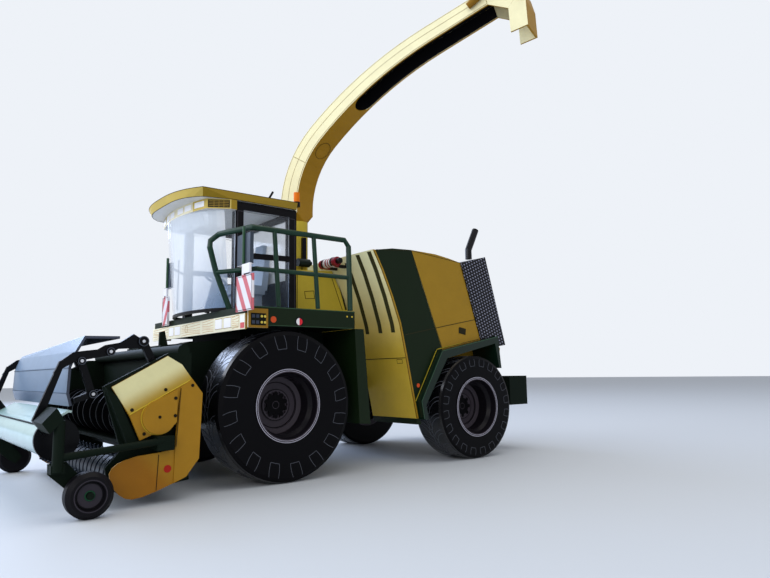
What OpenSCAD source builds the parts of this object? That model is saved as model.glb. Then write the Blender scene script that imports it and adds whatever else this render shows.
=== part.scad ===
// Card scale model of a self-propelled forage harvester with a pick-up header.
// Millimetres. +X is the driving direction, +Y the left side, +Z up, z = 0 the table.
// Lengths are first laid out from the front axle, then moved to the middle of the whole box.

/* [Wheels] */
// Radius of a front tyre
front_r = 28; // [26:0.5:30]
// Width of a front tyre
front_w = 18; // [15:0.5:20]
// Radius of a rear tyre
rear_r = 23.4; // [21:0.2:25]
// Width of a rear tyre
rear_w = 17.5; // [14:0.5:19]
// Distance between the axles
wheelbase = 98.6; // [95:0.2:102]
// Distance from the centre plane to the outer face of the front tyres
front_y = 48.5; // [47:0.5:50]
// Distance from the centre plane to the outer face of the rear tyres
rear_y = 51; // [50:0.5:53]
// Radius of the round opening in a tyre, which the rim fills
rim_r = 13.1; // [11:0.1:15]
// How deep the wheel disc lies behind the tyre's outer face
disc_depth = 10.5; // [8:0.5:12]
// Radius of the axle stubs
stub_r = 1.2; // [1:0.1:1.6]
// Radial clearance between a stub and its bore
stub_gap = 0.05; // [0.02:0.01:0.1]

/* [Card] */
// Thickness of a stiffened card wall
card = 0.8; // [0.6:0.1:1.2]
// Clear space between glued pieces that only touch at their tabs
seam = 0.05; // [0.02:0.01:0.15]

/* [Platform] */
// Height of the walkway's top face
deck_z = 64.5; // [63:0.5:66]
// Height of the beam round the walkway
deck_h = 7; // [6:0.5:7.5]
// Front edge of the walkway
deck_x1 = 17; // [16:0.5:18]
// Rear edge of the walkway
deck_x0 = -31; // [-32:0.5:-30]
// Half width of the walkway
deck_y = 48; // [47:0.5:50]

/* [Cab] */
// Half width of the cab
cab_y = 27; // [25:0.5:28]
// Rear wall of the cab
cab_x0 = -16; // [-17:0.5:-15]
// Place of the door pillar, where the bent windscreen starts
cab_x1 = 12; // [10:0.5:13]
// How far the windscreen bulges ahead of the door pillar
screen_bulge = 10.5; // [9:0.5:12]
// How much further the windscreen bulges at its top
screen_lean = 4.5; // [3:0.5:6]
// Height of the roof's underside
roof_z = 109; // [107:0.5:110]
// Thickness of the roof's yellow edge
roof_edge = 3; // [2.5:0.5:4]
// Half width of the roof at the visor's corners
roof_y = 28.2; // [27.5:0.1:29]
// How far the visor's corner lies ahead of the front axle
visor_x = 26.5; // [25:0.5:28]
// How far the visor bulges ahead of its corners
visor_bulge = 7; // [6:0.1:8]
// Height of the lamp band under the visor
lamp_h = 4; // [3:0.5:5]

/* [Body] */
// Half width of the rear body
body_y = 45; // [44:0.5:46]
// Half width of the inner walls between the rear wheels
well_y = 32; // [30:0.5:32.5]

/* [Spout] */
// Place of the spout's turning axis
spout_x = -32.3; // [-34:0.1:-31]
// Angle of the spout from straight back towards the left
spout_turn = 70; // [0:5:90]
// Width of the spout's box section
spout_w = 12; // [11:0.5:14]
// Depth of the spout's box section at its foot
spout_d0 = 10; // [9:0.5:11]
// Depth of the spout's box section at its tip
spout_d1 = 6.7; // [6:0.1:8]
// Height of the spout's foot
spout_z = 115; // [114:0.5:116]
// Radius of the tight lower bend, at the middle of the section
bend1_r = 43.5; // [40:0.5:50]
// Radius of the slack upper bend
bend2_r = 162.6; // [150:0.1:180]

/* [Header] */
// Half width of the header between its side walls
header_y = 50; // [48:0.5:51]
// Outer face of the yellow covers
cover_y = 54; // [53:0.5:55]
// Radius of the crop roller
roller_r = 5.8; // [5:0.1:6.2]
// Radius of a gauge wheel
gauge_r = 6.5; // [6:0.1:7]
// Width of a gauge wheel
gauge_w = 5.5; // [4:0.5:6]
// Outer face of the gauge wheels
gauge_y = 62.5; // [62:0.5:64]
// Radius of the auger with its flights
auger_r = 8; // [7:0.5:8.5]

/* [Hidden] */
$fn = 48;

black = "#1b1b1e";
green = "#1f4029";
yellow = "#d9a928";
pale = "#ecd98a";
grey = "#8e8b93";

// Places that follow from the sizes above
rear_x = -wheelbase;
gauge_x = 71.3;
roller = [77.5, 21.5];
auger_c = [50, 26.8];
reel_c = [57, 9.2];
arm_tip = [83.4, 26.7];
weight_x0 = rear_x - 47.4;
weight_t = 13.5;

// Moves a piece from the axle's layout to the middle of the whole box
module placed() translate([-x_mid, -y_mid, 0]) children();

// Makes a piece and its mirror image on the other side
module both() {
  children();
  mirror([0, 1, 0]) children();
}

// Extrudes an outline given in x and z from y0 to y1
module slab(points, y0, y1)
  translate([0, y1, 0]) rotate([90, 0, 0]) linear_extrude(y1 - y0) polygon(points);

// Unit normal to the left of the step from a to b
function side(a, b) = let (d = b - a) [-d[1], d[0]] / norm(d);

// Direction of the corner at point i of an open line, for a wall of even thickness
function miter(p, i) =
  let (n = len(p),
       a = i == 0 ? side(p[0], p[1]) : side(p[i - 1], p[i]),
       b = i == n - 1 ? side(p[n - 2], p[n - 1]) : side(p[i], p[i + 1]))
  (a + b) / (1 + a * b);

// An open line of points moved t to its left
function moved(p, t) = [for (i = [0:len(p) - 1]) p[i] + t * miter(p, i)];
function flip(p) = [for (i = [len(p) - 1:-1:0]) p[i]];

// Outline of a folded sheet that follows an open line of points, t thick on its left
function folded(p, t) = concat(p, flip(moved(p, t)));

// Round rod from a to b
module rod(a, b, r) {
  d = b - a;
  translate(a) rotate([0, acos(d[2] / norm(d)), atan2(d[1], d[0])]) cylinder(h = norm(d), r = r, $fn = 16);
}

// Ring of n points round point i of a route, square to the way it runs
function ring(p, i, r, n) =
  let (t = p[min(i + 1, len(p) - 1)] - p[max(i - 1, 0)],
       u = cross([0, 1, 0], t) / norm(cross([0, 1, 0], t)),
       v = cross(t, u) / norm(t))
  [for (k = [0:n - 1]) p[i] + r * (cos(k * 360 / n) * u + sin(k * 360 / n) * v)];

// Bent tube of n flat sides that runs through a list of points
module tube(p, r, n = 10) {
  m = len(p);
  polyhedron(
    [for (i = [0:m - 1]) each ring(p, i, r, n)],
    concat([[for (k = [0:n - 1]) k]], [[for (k = [n - 1:-1:0]) (m - 1) * n + k]],
      [for (i = [0:m - 2]) for (k = [0:n - 1])
        [i * n + k, (i + 1) * n + k, (i + 1) * n + (k + 1) % n, i * n + (k + 1) % n]]));
}

// Lays a shape turned about Z on the line y so that its axis points outwards to the left
module on_axle(x, y, z) translate([x, y, z]) rotate([-90, 0, 0]) children();

// Tyre of card: a flat outer ring, a folded shoulder and a plain tread band
module tyre(r, w, shoulder) color(black) rotate_extrude($fn = 72) polygon([
  [rim_r, 0], [r - shoulder, 0], [r - shoulder / 4, shoulder / 3], [r, shoulder], [r, w - shoulder],
  [r - shoulder / 4, w - shoulder / 3], [r - shoulder, w], [rim_r, w]]);

// Deep rim: lip, stepped well, disc with round notches and a tube over the stub
module rim(w, notches) color(grey) {
  disc_z = w - disc_depth;
  difference() {
    union() {
      rotate_extrude($fn = 72) polygon([
        [rim_r - 3, 0], [rim_r - seam, 0], [rim_r - seam, w], [rim_r + 0.5, w], [rim_r + 0.5, w + 0.3],
        [rim_r - 0.8, w + 0.3], [rim_r - 1.2, w - 2.5], [rim_r - 2.4, w - 4], [rim_r - 2.4, disc_z + 1.5],
        [rim_r - 4.2, disc_z + 1], [rim_r - 4.2, disc_z + 0.4], [2, disc_z + 0.4], [2, 0], [2.9, 0],
        [2.9, disc_z - 1.2], [rim_r - 3, disc_z - 1.2]]);
      translate([0, 0, disc_z]) cylinder(h = 0.8, r = 6);
    }
    translate([0, 0, -1]) cylinder(h = w, r = stub_r + stub_gap);
    for (i = [0:notches - 1]) rotate(i * 360 / notches)
      translate([4.4, 0, disc_z]) cylinder(h = 2, r = 0.75, $fn = 24);
  }
  difference() {
    cylinder(h = disc_z + 0.4, r = 2.4);
    translate([0, 0, -1]) cylinder(h = w, r = stub_r + stub_gap);
  }
}

module tyre_front_left() placed() on_axle(0, front_y - front_w, front_r) tyre(front_r, front_w, 2);
module tyre_front_right() placed() mirror([0, 1, 0])
  on_axle(0, front_y - front_w, front_r) tyre(front_r, front_w, 2);
module tyre_rear_left() placed() on_axle(rear_x, rear_y - rear_w, rear_r) tyre(rear_r, rear_w, 1.5);
module tyre_rear_right() placed() mirror([0, 1, 0])
  on_axle(rear_x, rear_y - rear_w, rear_r) tyre(rear_r, rear_w, 1.5);
module rim_front_left() placed() on_axle(0, front_y - front_w, front_r) rim(front_w, 10);
module rim_front_right() placed() mirror([0, 1, 0]) on_axle(0, front_y - front_w, front_r) rim(front_w, 10);
module rim_rear_left() placed() on_axle(rear_x, rear_y - rear_w, rear_r) rim(rear_w, 8);
module rim_rear_right() placed() mirror([0, 1, 0]) on_axle(rear_x, rear_y - rear_w, rear_r) rim(rear_w, 8);

// Half of an axle: tube, flange and the stub that the wheel turns on
module half_axle(inner_y, stub_y, tube_r, flange_r) {
  rotate([-90, 0, 0]) cylinder(h = inner_y, r = tube_r);
  translate([0, inner_y - 1.5, 0]) rotate([-90, 0, 0]) cylinder(h = 1.5, r = flange_r);
  rotate([-90, 0, 0]) cylinder(h = stub_y, r = stub_r);
}

module front_axle() placed() color(black)
  translate([0, 0, front_r]) both() half_axle(front_y - front_w - 0.6, front_y - disc_depth + 0.6, 4, 8);

// The rear axle is a beam with an upright knuckle at each end
module rear_axle() placed() color(black) translate([rear_x, 0, rear_r]) {
  both() half_axle(rear_y - rear_w - 0.6, rear_y - disc_depth + 0.6, 3, 5);
  translate([-4, -24, -3.5]) cube([8, 48, 7]);
  both() translate([-2.5, 24, -5]) cube([5, 5, 10]);
}

// Frame: two long rails, the closed housing of the cutting drum and cross members
rail_z = 32;
rail_h = 8;
rail_y0 = 9;
rail_t = 5;
under_deck = deck_z - deck_h - seam;
module chassis() placed() color(green) {
  x0 = weight_x0 + weight_t + seam;
  both() translate([x0, rail_y0, rail_z]) cube([-x0, rail_t, rail_h]);
  for (x = [x0, rear_x - 14, -58])
    translate([x, -rail_y0 - rail_t, rail_z]) cube([6, 2 * (rail_y0 + rail_t), rail_h]);
  difference() {
    slab([[8, 30], [8, under_deck], [-42, under_deck], [-48, 40], [-48, 30], [-20, 25], [0, 25]], -24, 24);
    translate([0, 0, front_r]) rotate([90, 0, 0]) cylinder(h = 60, r = 4 + seam, center = true);
  }
  both() translate([rear_x - 4, rail_y0, rear_r + 3.5 + seam]) cube([8, rail_t, rail_z - rear_r - 3]);
}

// Walkway: a deck with a beam round it, open below over the front tyres
module platform() placed() color(green) {
  difference() {
    translate([deck_x0, -deck_y, deck_z - deck_h]) cube([deck_x1 - deck_x0, 2 * deck_y, deck_h]);
    translate([deck_x0 + 1.5, -deck_y + 1.5, deck_z - deck_h - 1])
      cube([deck_x1 - deck_x0 - 3, 2 * deck_y - 3, deck_h - 0.5]);
  }
}

// Front strip with the lamps, and the lamp box at each end
module light_strip() placed() {
  color(pale) translate([deck_x1 + seam, -deck_y, deck_z - 8.5]) cube([card, 2 * deck_y, 5.7]);
  color(yellow) both() translate([deck_x1 - 8, deck_y + seam, deck_z - 8]) cube([8, card, 7]);
}

// Panels behind the front wheels, down to the sill of the body
module step_panels() placed() color(green)
  both() slab([[deck_x0, under_deck], [deck_x0 - 2, 19.5], [deck_x0 - 7.5, 19], [deck_x0 - 4.5, under_deck]],
    24 + seam, deck_y);

// Plan of the cab: a box with a half ellipse that bulges b in front, grown by d
module cab_plan(d, b = screen_bulge) {
  translate([cab_x0 - d, -cab_y - d]) square([cab_x1 - cab_x0 + d, 2 * (cab_y + d)]);
  translate([cab_x1, 0]) scale([(b + d) / (cab_y + d), 1]) circle(cab_y + d, $fn = 64);
}

// Black frame: sill with the floor, pillars, top frame, and the low wall at the back
pillar = 3.4;
sill_h = 1.2;
top_h = 3.2;
module cab_frame() placed() color(black) {
  translate([0, 0, deck_z + seam]) linear_extrude(sill_h) difference() {
    cab_plan(0);
    cab_plan(-1.2);
  }
  translate([cab_x0, 0, roof_z - top_h - seam]) difference() {
    translate([0, -cab_y, 0]) cube([cab_x1 - cab_x0, 2 * cab_y, top_h]);
    translate([1.2, -cab_y + 1.2, -1]) cube([cab_x1 - cab_x0 - 2.4, 2 * cab_y - 2.4, top_h + 2]);
  }
  both() for (x = [cab_x0, cab_x1 - pillar])
    translate([x, cab_y - pillar, deck_z + 1]) cube([pillar, pillar, roof_z - deck_z - 2]);
  translate([cab_x0, -cab_y, deck_z + 1]) cube([1.2, 2 * cab_y, 14]);
  translate([cab_x0 + seam, -cab_y, deck_z + seam]) cube([cab_x1 - cab_x0, 2 * cab_y, 1]);
}

// The windscreen's space from its foot to its top, shrunk by d and stretched by e past both ends
screen_z = [deck_z + sill_h + 2 * seam, roof_z - lamp_h - seam];
module screen_space(d, e) hull() for (i = [0, 1])
  translate([0, 0, screen_z[i] - (i == 0 ? e : 0.01 - e)])
    linear_extrude(0.01) cab_plan(-d, screen_bulge + i * screen_lean);

// Clear sheets: windscreen bent round and leaning forward, doors and rear window
module cab_windows() placed() color([0.8, 0.86, 0.9, 0.35]) {
  h = roof_z - top_h - 2 * seam - screen_z[0];
  intersection() {
    difference() {
      screen_space(0.2, 0);
      screen_space(0.8, 0.5);
    }
    translate([cab_x1 + seam, -50, 0]) cube([50, 100, 200]);
  }
  both() translate([cab_x0 + pillar + seam, cab_y - 0.9, screen_z[0]])
    cube([cab_x1 - cab_x0 - 2 * pillar - 2 * seam, 0.6, h]);
  translate([cab_x0 + 0.3, -cab_y + pillar + seam, deck_z + 15 + seam])
    cube([0.6, 2 * (cab_y - pillar - seam), roof_z - deck_z - 15 - top_h - 3 * seam]);
}

// Front line of roof or lamp band: from corner to corner, b further forward in the middle,
// and the fuller the larger n is
function visor_line(x, y, b, n) = [for (k = [-8:8]) [x + b * (1 - pow(abs(k) / 8, n)), y * k / 8]];
grille_x = 14.5;
side_y = cab_y + 1;
function roof_low() = concat([[cab_x0 + 0.6, -side_y], [grille_x, -side_y]],
  visor_line(visor_x - 1.3, roof_y - 3, visor_bulge - 0.2, 3.9), [[grille_x, side_y], [cab_x0 + 0.6, side_y]]);
function roof_high(d) = concat([[cab_x0 + 0.6 + d, d - side_y - 1]],
  visor_line(visor_x - d, roof_y - d, visor_bulge, 2.8), [[cab_x0 + 0.6 + d, side_y + 1 - d]]);

// Roof whose edge leans outwards to the top, with the lamp band under its visor
module cab_roof() placed() color(yellow) {
  translate([0, 0, roof_z - lamp_h]) linear_extrude(lamp_h + 1) polygon(concat(
    [[cab_x1 + seam, -side_y], [grille_x, -side_y]], visor_line(visor_x - 3.7, roof_y - 4.9, 3.4, 2),
    [[grille_x, side_y], [cab_x1 + seam, side_y]]));
  hull() {
    translate([0, 0, roof_z]) linear_extrude(0.1) polygon(roof_low());
    translate([0, 0, roof_z + roof_edge - 0.1]) linear_extrude(0.1) polygon(roof_high(0));
  }
  hull() {
    translate([0, 0, roof_z + roof_edge - 0.2]) linear_extrude(0.2) polygon(roof_high(0.2));
    translate([0, 0, roof_z + roof_edge + 0.5]) linear_extrude(0.1) polygon(roof_high(4));
  }
}

// Amber beacon behind the roof's left rear corner, on its black foot, and the thin aerial
module roof_lamps() placed() {
  z = roof_z + roof_edge + 0.6;
  translate([cab_x0 - 0.9 - seam, cab_y - 1.5, roof_z + 2.2]) {
    color(black) cylinder(h = 2, r = 1.5);
    color("#e07a1c") translate([0, 0, 2]) cylinder(h = 4.2, r = 1.3);
  }
  color(black) rod([cab_x0 + 6, 8, z + 0.35], [cab_x0 + 1, 8, z + 9], 0.5);
}

// Seat with cushion, back and headrest on a foot
module seat() placed() color("#9a9ca0") {
  translate([-11, -6, deck_z + 1 + 2 * seam]) cube([11, 12, 9]);
  translate([-12, -7, deck_z + 10]) cube([14, 14, 4]);
  slab([[-13, deck_z + 12], [-10, deck_z + 12], [-12, deck_z + 28], [-14.5, deck_z + 28]], -7, 7);
  slab([[-14, deck_z + 27], [-12.2, deck_z + 27], [-12.6, deck_z + 33], [-14.6, deck_z + 33]], -3.5, 3.5);
}

// Steering column with its wheel and side console
module steering_column() placed() color(black) {
  rod([12, 0, deck_z + 1.6], [8, 0, deck_z + 16], 1.3);
  translate([8, 0, deck_z + 16]) rotate([0, -25, 0]) {
    rotate_extrude() translate([4.6, 0]) circle(0.5, $fn = 16);
    for (a = [0, 120, 240]) rotate(a) translate([0, -0.4, -0.3]) cube([4.6, 0.8, 0.6]);
  }
  translate([-8, -14, deck_z + 1 + 2 * seam]) cube([12, 4, 15]);
}

// Railing on the left of the walkway
rail_top = 94;
rail_mid = 78.5;
rail_y = deck_y - 1.2;
rail_front = [17.5, cab_y + 3.5];
module railing() placed() color(green) {
  foot = deck_z + 0.4;
  tube([[deck_x0 + 1.4, rail_y, foot], [-29, rail_y, rail_top - 2.5], [-27, rail_y, rail_top],
    [15, rail_y, rail_top], [21.5, rail_front[1] + 2, rail_top - 1], [24, rail_front[1], rail_top - 3.5],
    [24.2, rail_front[1], 88], [21.5, rail_front[1], rail_mid], [deck_x1 - 1.2, rail_front[1], foot]], 1.1);
  tube([[-29.6, rail_y, rail_mid], [13, rail_y, rail_mid], [21.5, rail_front[1], rail_mid]], 0.9);
  for (x = [-12, 5.5]) rod([x - 2, rail_y, foot], [x, rail_y, rail_top], 0.9);
}

// Striped warning plate w wide that starts at height z, a white square and a mirror on a stem above it
module mirror_set(y, z, w) translate([deck_x1 + 1.1, y, z]) {
  color("white") translate([0, -w / 2, 0]) cube([0.8, w, 13]);
  color("white") translate([0, -0.15 * w, 13.6]) cube([0.8, 0.47 * w, 3.6]);
  color(green) rod([0.4, -0.1 * w, 12], [0.4, -0.1 * w, 31], 0.6);
  color(black) translate([-1.3, -0.56 * w, 17]) cube([1.4, 0.8 * w, 11.6]);
}
module mirror_left() placed() mirror_set(deck_y + 0.9, deck_z - 2.2, 12.8);
module mirror_right() placed() mirror([0, 1, 0]) {
  mirror_set(cab_y + 3, deck_z - 2.2, 7);
  color(black) tube([[deck_x1 + 0.6, cab_y + 2.5, 89], [deck_x1 - 1, cab_y + 2, 88.5],
    [cab_x1 - 1, cab_y + 0.6, 86]], 0.5);
}

// Yellow chute from the cutting drum, with the round tower that carries the spout
tower_r = 5.2;
pin_r = 3;
module chute() placed() color(yellow) {
  back = [for (i = [2:3]) front_edge[i] + [2 * seam, 0]];
  slab(concat([[cab_x0 - 3, deck_z + seam], [cab_x0 - 3, 86], [spout_x - 12.7, 87.5]], back,
    [[back[1][0], deck_z - deck_h], [deck_x0 - seam, deck_z - deck_h], [deck_x0 - seam, deck_z + seam]]),
    -11, 11);
  difference() {
    translate([spout_x, 0, 86]) cylinder(h = spout_z - 4 - 86, r = tower_r);
    translate([spout_x, 0, spout_z - 12]) cylinder(h = 20, r = pin_r + stub_gap);
  }
  translate([spout_x - 1.5, tower_r - 0.5, 87]) cube([2, 1.5, 16]);
}

// Extinguisher lying across the front of the body on two clips
module extinguisher() placed() {
  color("#a02030") translate([-38.5, 12.5, 89.6]) rotate([-90, 0, 0]) cylinder(h = 12.6, r = 2.1);
  color(black) translate([-38.5, 25.1, 89.6]) rotate([-90, 0, 0]) cylinder(h = 2.2, r = 1.3);
  color(black) for (y = [14.5, 21.6]) translate([-44.9, y, 87.2]) cube([6.5, 1.2, 1.4]);
}

// Middle line of the spout in its own plane as [s, z, slope, length so far]: s runs outwards, z up
bend1 = 50.3;
bend2 = 23.7;
rise = 1.9;
tip_len = 28;
function bent(p, r, a0, a) = [
  p[0] + r * (cos(a0) - cos(a)), p[1] + r * (sin(a) - sin(a0)), 90 - a, p[3] + r * (a - a0) * PI / 180];
function spout_line() =
  let (foot = [0, spout_z + rise, 90, rise],
       knee = bent(foot, bend1_r, 0, bend1),
       neck = bent(knee, bend2_r, bend1, bend1 + bend2))
  concat([[0, spout_z, 90, 0]],
    [for (i = [0:8]) bent(foot, bend1_r, 0, i * bend1 / 8)],
    [for (i = [1:10]) bent(knee, bend2_r, bend1, bend1 + i * bend2 / 10)],
    [neck + [tip_len * cos(neck[2]), tip_len * sin(neck[2]), 0, tip_len]]);

// The same line moved across by a share k of the depth, k = 0.5 on the outer curve
function spout_edge(k) = let (l = spout_line(), n = len(l) - 1)
  [for (p = l) let (d = spout_d0 + (spout_d1 - spout_d0) * p[3] / l[n][3])
    [p[0] - k * d * sin(p[2]), p[1] + k * d * cos(p[2])]];

// Point beside the tip of that line: u onwards and v outwards, both in depths of the tip
tip = let (l = spout_line()) l[len(l) - 1];
function by_tip(u, v) = [tip[0] + spout_d1 * (u * cos(tip[2]) - v * sin(tip[2])),
  tip[1] + spout_d1 * (u * sin(tip[2]) + v * cos(tip[2]))];
hinge = [by_tip(1.045, -1.49), by_tip(2.13, -0.716)];
flap_side = let (gap = -seam * side(hinge[0], hinge[1]))
  [hinge[0] + gap, by_tip(0.716, -2.97), by_tip(1.76, -3.12), by_tip(2.12, -1.6), hinge[1] + gap];

// Middle of the whole box, from the arms' tip to the weight and from the flap to the right gauge wheel
x_mid = (arm_tip[0] + 1 + weight_x0) / 2;
y_left = max([for (p = flap_side) p[0]]) * sin(spout_turn) + spout_w / 2 * cos(spout_turn);
y_mid = (y_left - gauge_y) / 2;

// Puts a shape drawn in s and z into the spout's turned plane
module in_spout() translate([spout_x, 0, 0]) rotate([0, 0, 180 - spout_turn]) children();

// Box section that follows the line, bends down at its end and is open below, on a round foot with a pin
module spout() placed() in_spout() color(yellow) {
  outer = concat(spout_edge(0.5), [hinge[1]]);
  inner = moved(outer, -card);
  n = len(outer) - 1;
  start = 13;
  at = spout_line()[start];
  depth = norm(spout_edge(0.5)[start] - spout_edge(-0.5)[start]);
  difference() {
    slab(concat(outer, [hinge[0]], flip(spout_edge(-0.5))), -spout_w / 2, spout_w / 2);
    slab(concat([for (i = [start:n]) inner[i]], [by_tip(1.5, -2.2)],
      flip([for (i = [start:n - 1]) spout_edge(-1)[i]])),
      card - spout_w / 2, spout_w / 2 - card);
    translate([at[0], 0, at[1]]) rotate([0, -at[2], 0]) translate([0, 0, -spout_d0])
      cylinder(h = spout_d0 + depth / 2 - card, r = spout_w / 2 - card, $fn = 32);
  }
  hull() {
    translate([-spout_d0 / 2, -spout_w / 2, spout_z - 0.3]) cube([spout_d0, spout_w, 0.3]);
    translate([0, 0, spout_z - 4 + seam]) cylinder(h = 0.2, r = 5, $fn = 32);
  }
  translate([0, 0, spout_z - 11]) cylinder(h = 11, r = pin_r);
}

// End flap that hangs from the spout's bent end: outer plate, a cheek on each side and a lever
module spout_flap() placed() in_spout() color(pale) {
  outer = [for (i = [4:-1:2]) flap_side[i]];
  inner = moved(outer, -card);
  slab(concat(outer, [inner[2], inner[1], outer[0] + 0.11 * (flap_side[0] - outer[0])]), -spout_w / 2, spout_w / 2);
  for (y = [-spout_w / 2, spout_w / 2 - card]) slab(flap_side, y, y + card);
  slab([by_tip(1.75, -1.3), by_tip(1.15, 0.72), by_tip(1.45, 0.8), by_tip(2, -1.5)],
    -spout_w / 2 - seam - card, -spout_w / 2 - seam);
  slab([by_tip(1.75, -1.3), by_tip(1.8, -1.15), by_tip(2.05, -1.3), by_tip(2, -1.5)],
    -spout_w / 2 - seam - card, -spout_w / 2 + 0.3);
}

// Small cylinder beside the tip, which tilts the flap by its lever
function by_wall(u, v, r) = let (p = by_tip(u, v)) [p[0], -spout_w / 2 - seam - r, p[1]];
module flap_cylinder() placed() in_spout() color("#8a6a24") {
  rod(by_wall(-1.1, -0.05, 1.4), by_wall(0.9, 0.45, 1.4), 1.4);
  rod(by_wall(0.7, 0.4, 1.45), by_wall(1.25, 0.54, 1.45), 0.6);
}

// Outline of the rear body seen from the side, tied to the rear wheels
function by_rear(u, v) = [rear_x + u * rear_r, (1 + v) * rear_r];
// Gap between the front wall's foot and the strips round the rear wheels
foot_gap = 0.5888; // [0.4:0.0001:1]
foot_x = by_rear(1.368, 0)[0] + foot_gap;
front_top = -43;
front_edge = [for (p = [[0, 92.3], [0.196, 84], [0.413, 73], [0.609, 61], [0.752, 46.4], [0.891, 31],
  [1, 19.5]]) [front_top + p[0] * (foot_x - front_top), p[1]]];
arch = [by_rear(1.188, -0.192), by_rear(1.244, 0.081), by_rear(0.667, 0.953), by_rear(-0.739, 1.265),
  by_rear(-0.842, 0.752)];
fender = [by_rear(1.299, -0.188), by_rear(1.368, 0.154), by_rear(0.803, 1.103), by_rear(-0.829, 1.419),
  by_rear(-0.91, 0.752)];
band_top = [rear_x + 33.6, 94.4];
tail_top = [rear_x + 2.2, 91.5];
front_t = 1.4;
sill = moved(fender, -seam);
function on_sill(k) = sill[2] + k * (sill[3] - sill[2]);
band_low = on_sill(0.079);
tail_low = on_sill(0.754);
rear_line = [[rear_x - 17.4, 89.5], [rear_x - 27.9, 55], [rear_x - 29.4, 44]];
tail_y = 27;
inner_low = rail_z + rail_h + seam;

// Room for the frame under the front of the body
module frame_tunnel() translate([foot_x - 34, -14.1, 0]) cube([80, 28.2, inner_low]);

// Yellow front wall, folded back towards its foot
module body_front() placed() color(yellow) difference() {
  slab(concat(front_edge, flip([for (p = front_edge) p - [front_t, 0]])), -body_y, body_y);
  frame_tunnel();
}

// Green band behind it, down to the sill in front of the rear wheels, with a lip under the front wall
module body_band() placed() color(green) difference() {
  union() {
    slab(concat([for (p = front_edge) p - [front_t + seam, 0]],
      [sill[0] + 0.05 * (sill[1] - sill[0]), sill[1], sill[2], band_low, band_top],
      [front_edge[0] + [-11, 1.6]]),
      -body_y, body_y);
    slab([[foot_x, 60], [foot_x, inner_low], [band_low[0], inner_low], band_low], -well_y, well_y);
    slab([for (p = [[0, 19.35], [-2, 19.35], [-2.05, 18.8], [-2.6, 18.5], [-2.8, 16.9], [-0.4, 16.9]])
      p + [foot_x, 0]], -body_y, body_y);
  }
  frame_tunnel();
}

// Yellow rear part with the tail between the two corner grilles, and a wall behind each wheel
module body_rear() placed() color(yellow) {
  slab([band_top - [seam, 0], band_low - [seam, 0], tail_low, tail_top, tail_top + [7.9, 1.4],
    tail_top + [16.4, 2.5]], -body_y, body_y);
  slab(concat([tail_top, [tail_top[0] + 4.4, 70], [tail_top[0] + 4.4, inner_low],
    [rear_line[2][0], inner_low]], flip(rear_line)), -tail_y + seam, tail_y - seam);
  slab([band_low + [-seam, 0.5], [band_low[0] - seam, inner_low], [rear_line[2][0], inner_low],
    [rear_line[2][0], 50], sill[3] - [0, 6]], -well_y, well_y);
  both() slab([sill[3] + [-2.6, -5.6], sill[4] + [-0.2, 0], sill[4] + [-1.2, 0], sill[3] + [-4.7, -5.6]],
    well_y - 1, body_y);
}

// Perforated shells that stand up at the rear corners
module corner_grilles() placed() color("#3a3a42") both()
  slab([tail_top - [seam, 0], tail_low - [seam, 0], sill[3] + [-0.2, 0.3], sill[3] + [-2.2, -5],
    [rear_x - 27.6, 52.5], [rear_x - 14.9, 96]], tail_y, body_y + 0.6);

module exhaust() placed() color(black)
  translate([rear_x, 36, 0]) tube([[-13.2, 0, 96.2], [-13.2, 0, 101], [-15.8, 0, 106], [-18.9, 0, 112]], 1.7);

// Strips round the rear wheels, folded over at their outer edge
module rear_fenders() placed() color(green)
  both() slab(concat(arch, flip(fender)), well_y + seam, deck_y);

// Weight block across the rear
module rear_weight() placed() color(green) {
  translate([weight_x0, -42, 22.5]) cube([weight_t, 84, 14.5]);
  both() translate([weight_x0 + weight_t - 3, rail_y0, 37 - seam]) cube([3, rail_t, 3]);
}

// Feeder house in front of the drum, between the front wheels
module feeder() placed() color(green) {
  slab([[8 + seam, 27], [8 + seam, 54], [38, 51], [38, 17], [28, 20]], -20, 20);
  both() slab([[34, 48], [36, 56.5], [37.8, 56], [38, 48]], 17, 18.2);
}

// Header: side walls, back wall, trough and top beam
header_x = 38.2;
module header_frame() placed() color(green) {
  both() slab([[header_x, 6], [header_x, 47], [46, 47], [66, 36.5], [60, 17], [64.5, 12], [63, 5.5],
    [57, 3.2], [46, 5]], header_y - 1.2, header_y);
  slab(folded([[header_x, 47], [header_x, 16], [42, 12], [50, 17.4], [57.5, 18.2]], 1), -header_y, header_y);
  translate([header_x + 2.7, 0, 48]) rotate([-90, 0, 0]) cylinder(h = 2 * header_y, r = 2, center = true);
  both() slab([[62.4, 33.5], [66, 36.5], [58.6, 18], [55.6, 18.9]], header_y - seam - 1, cover_y - 1);
}

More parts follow.
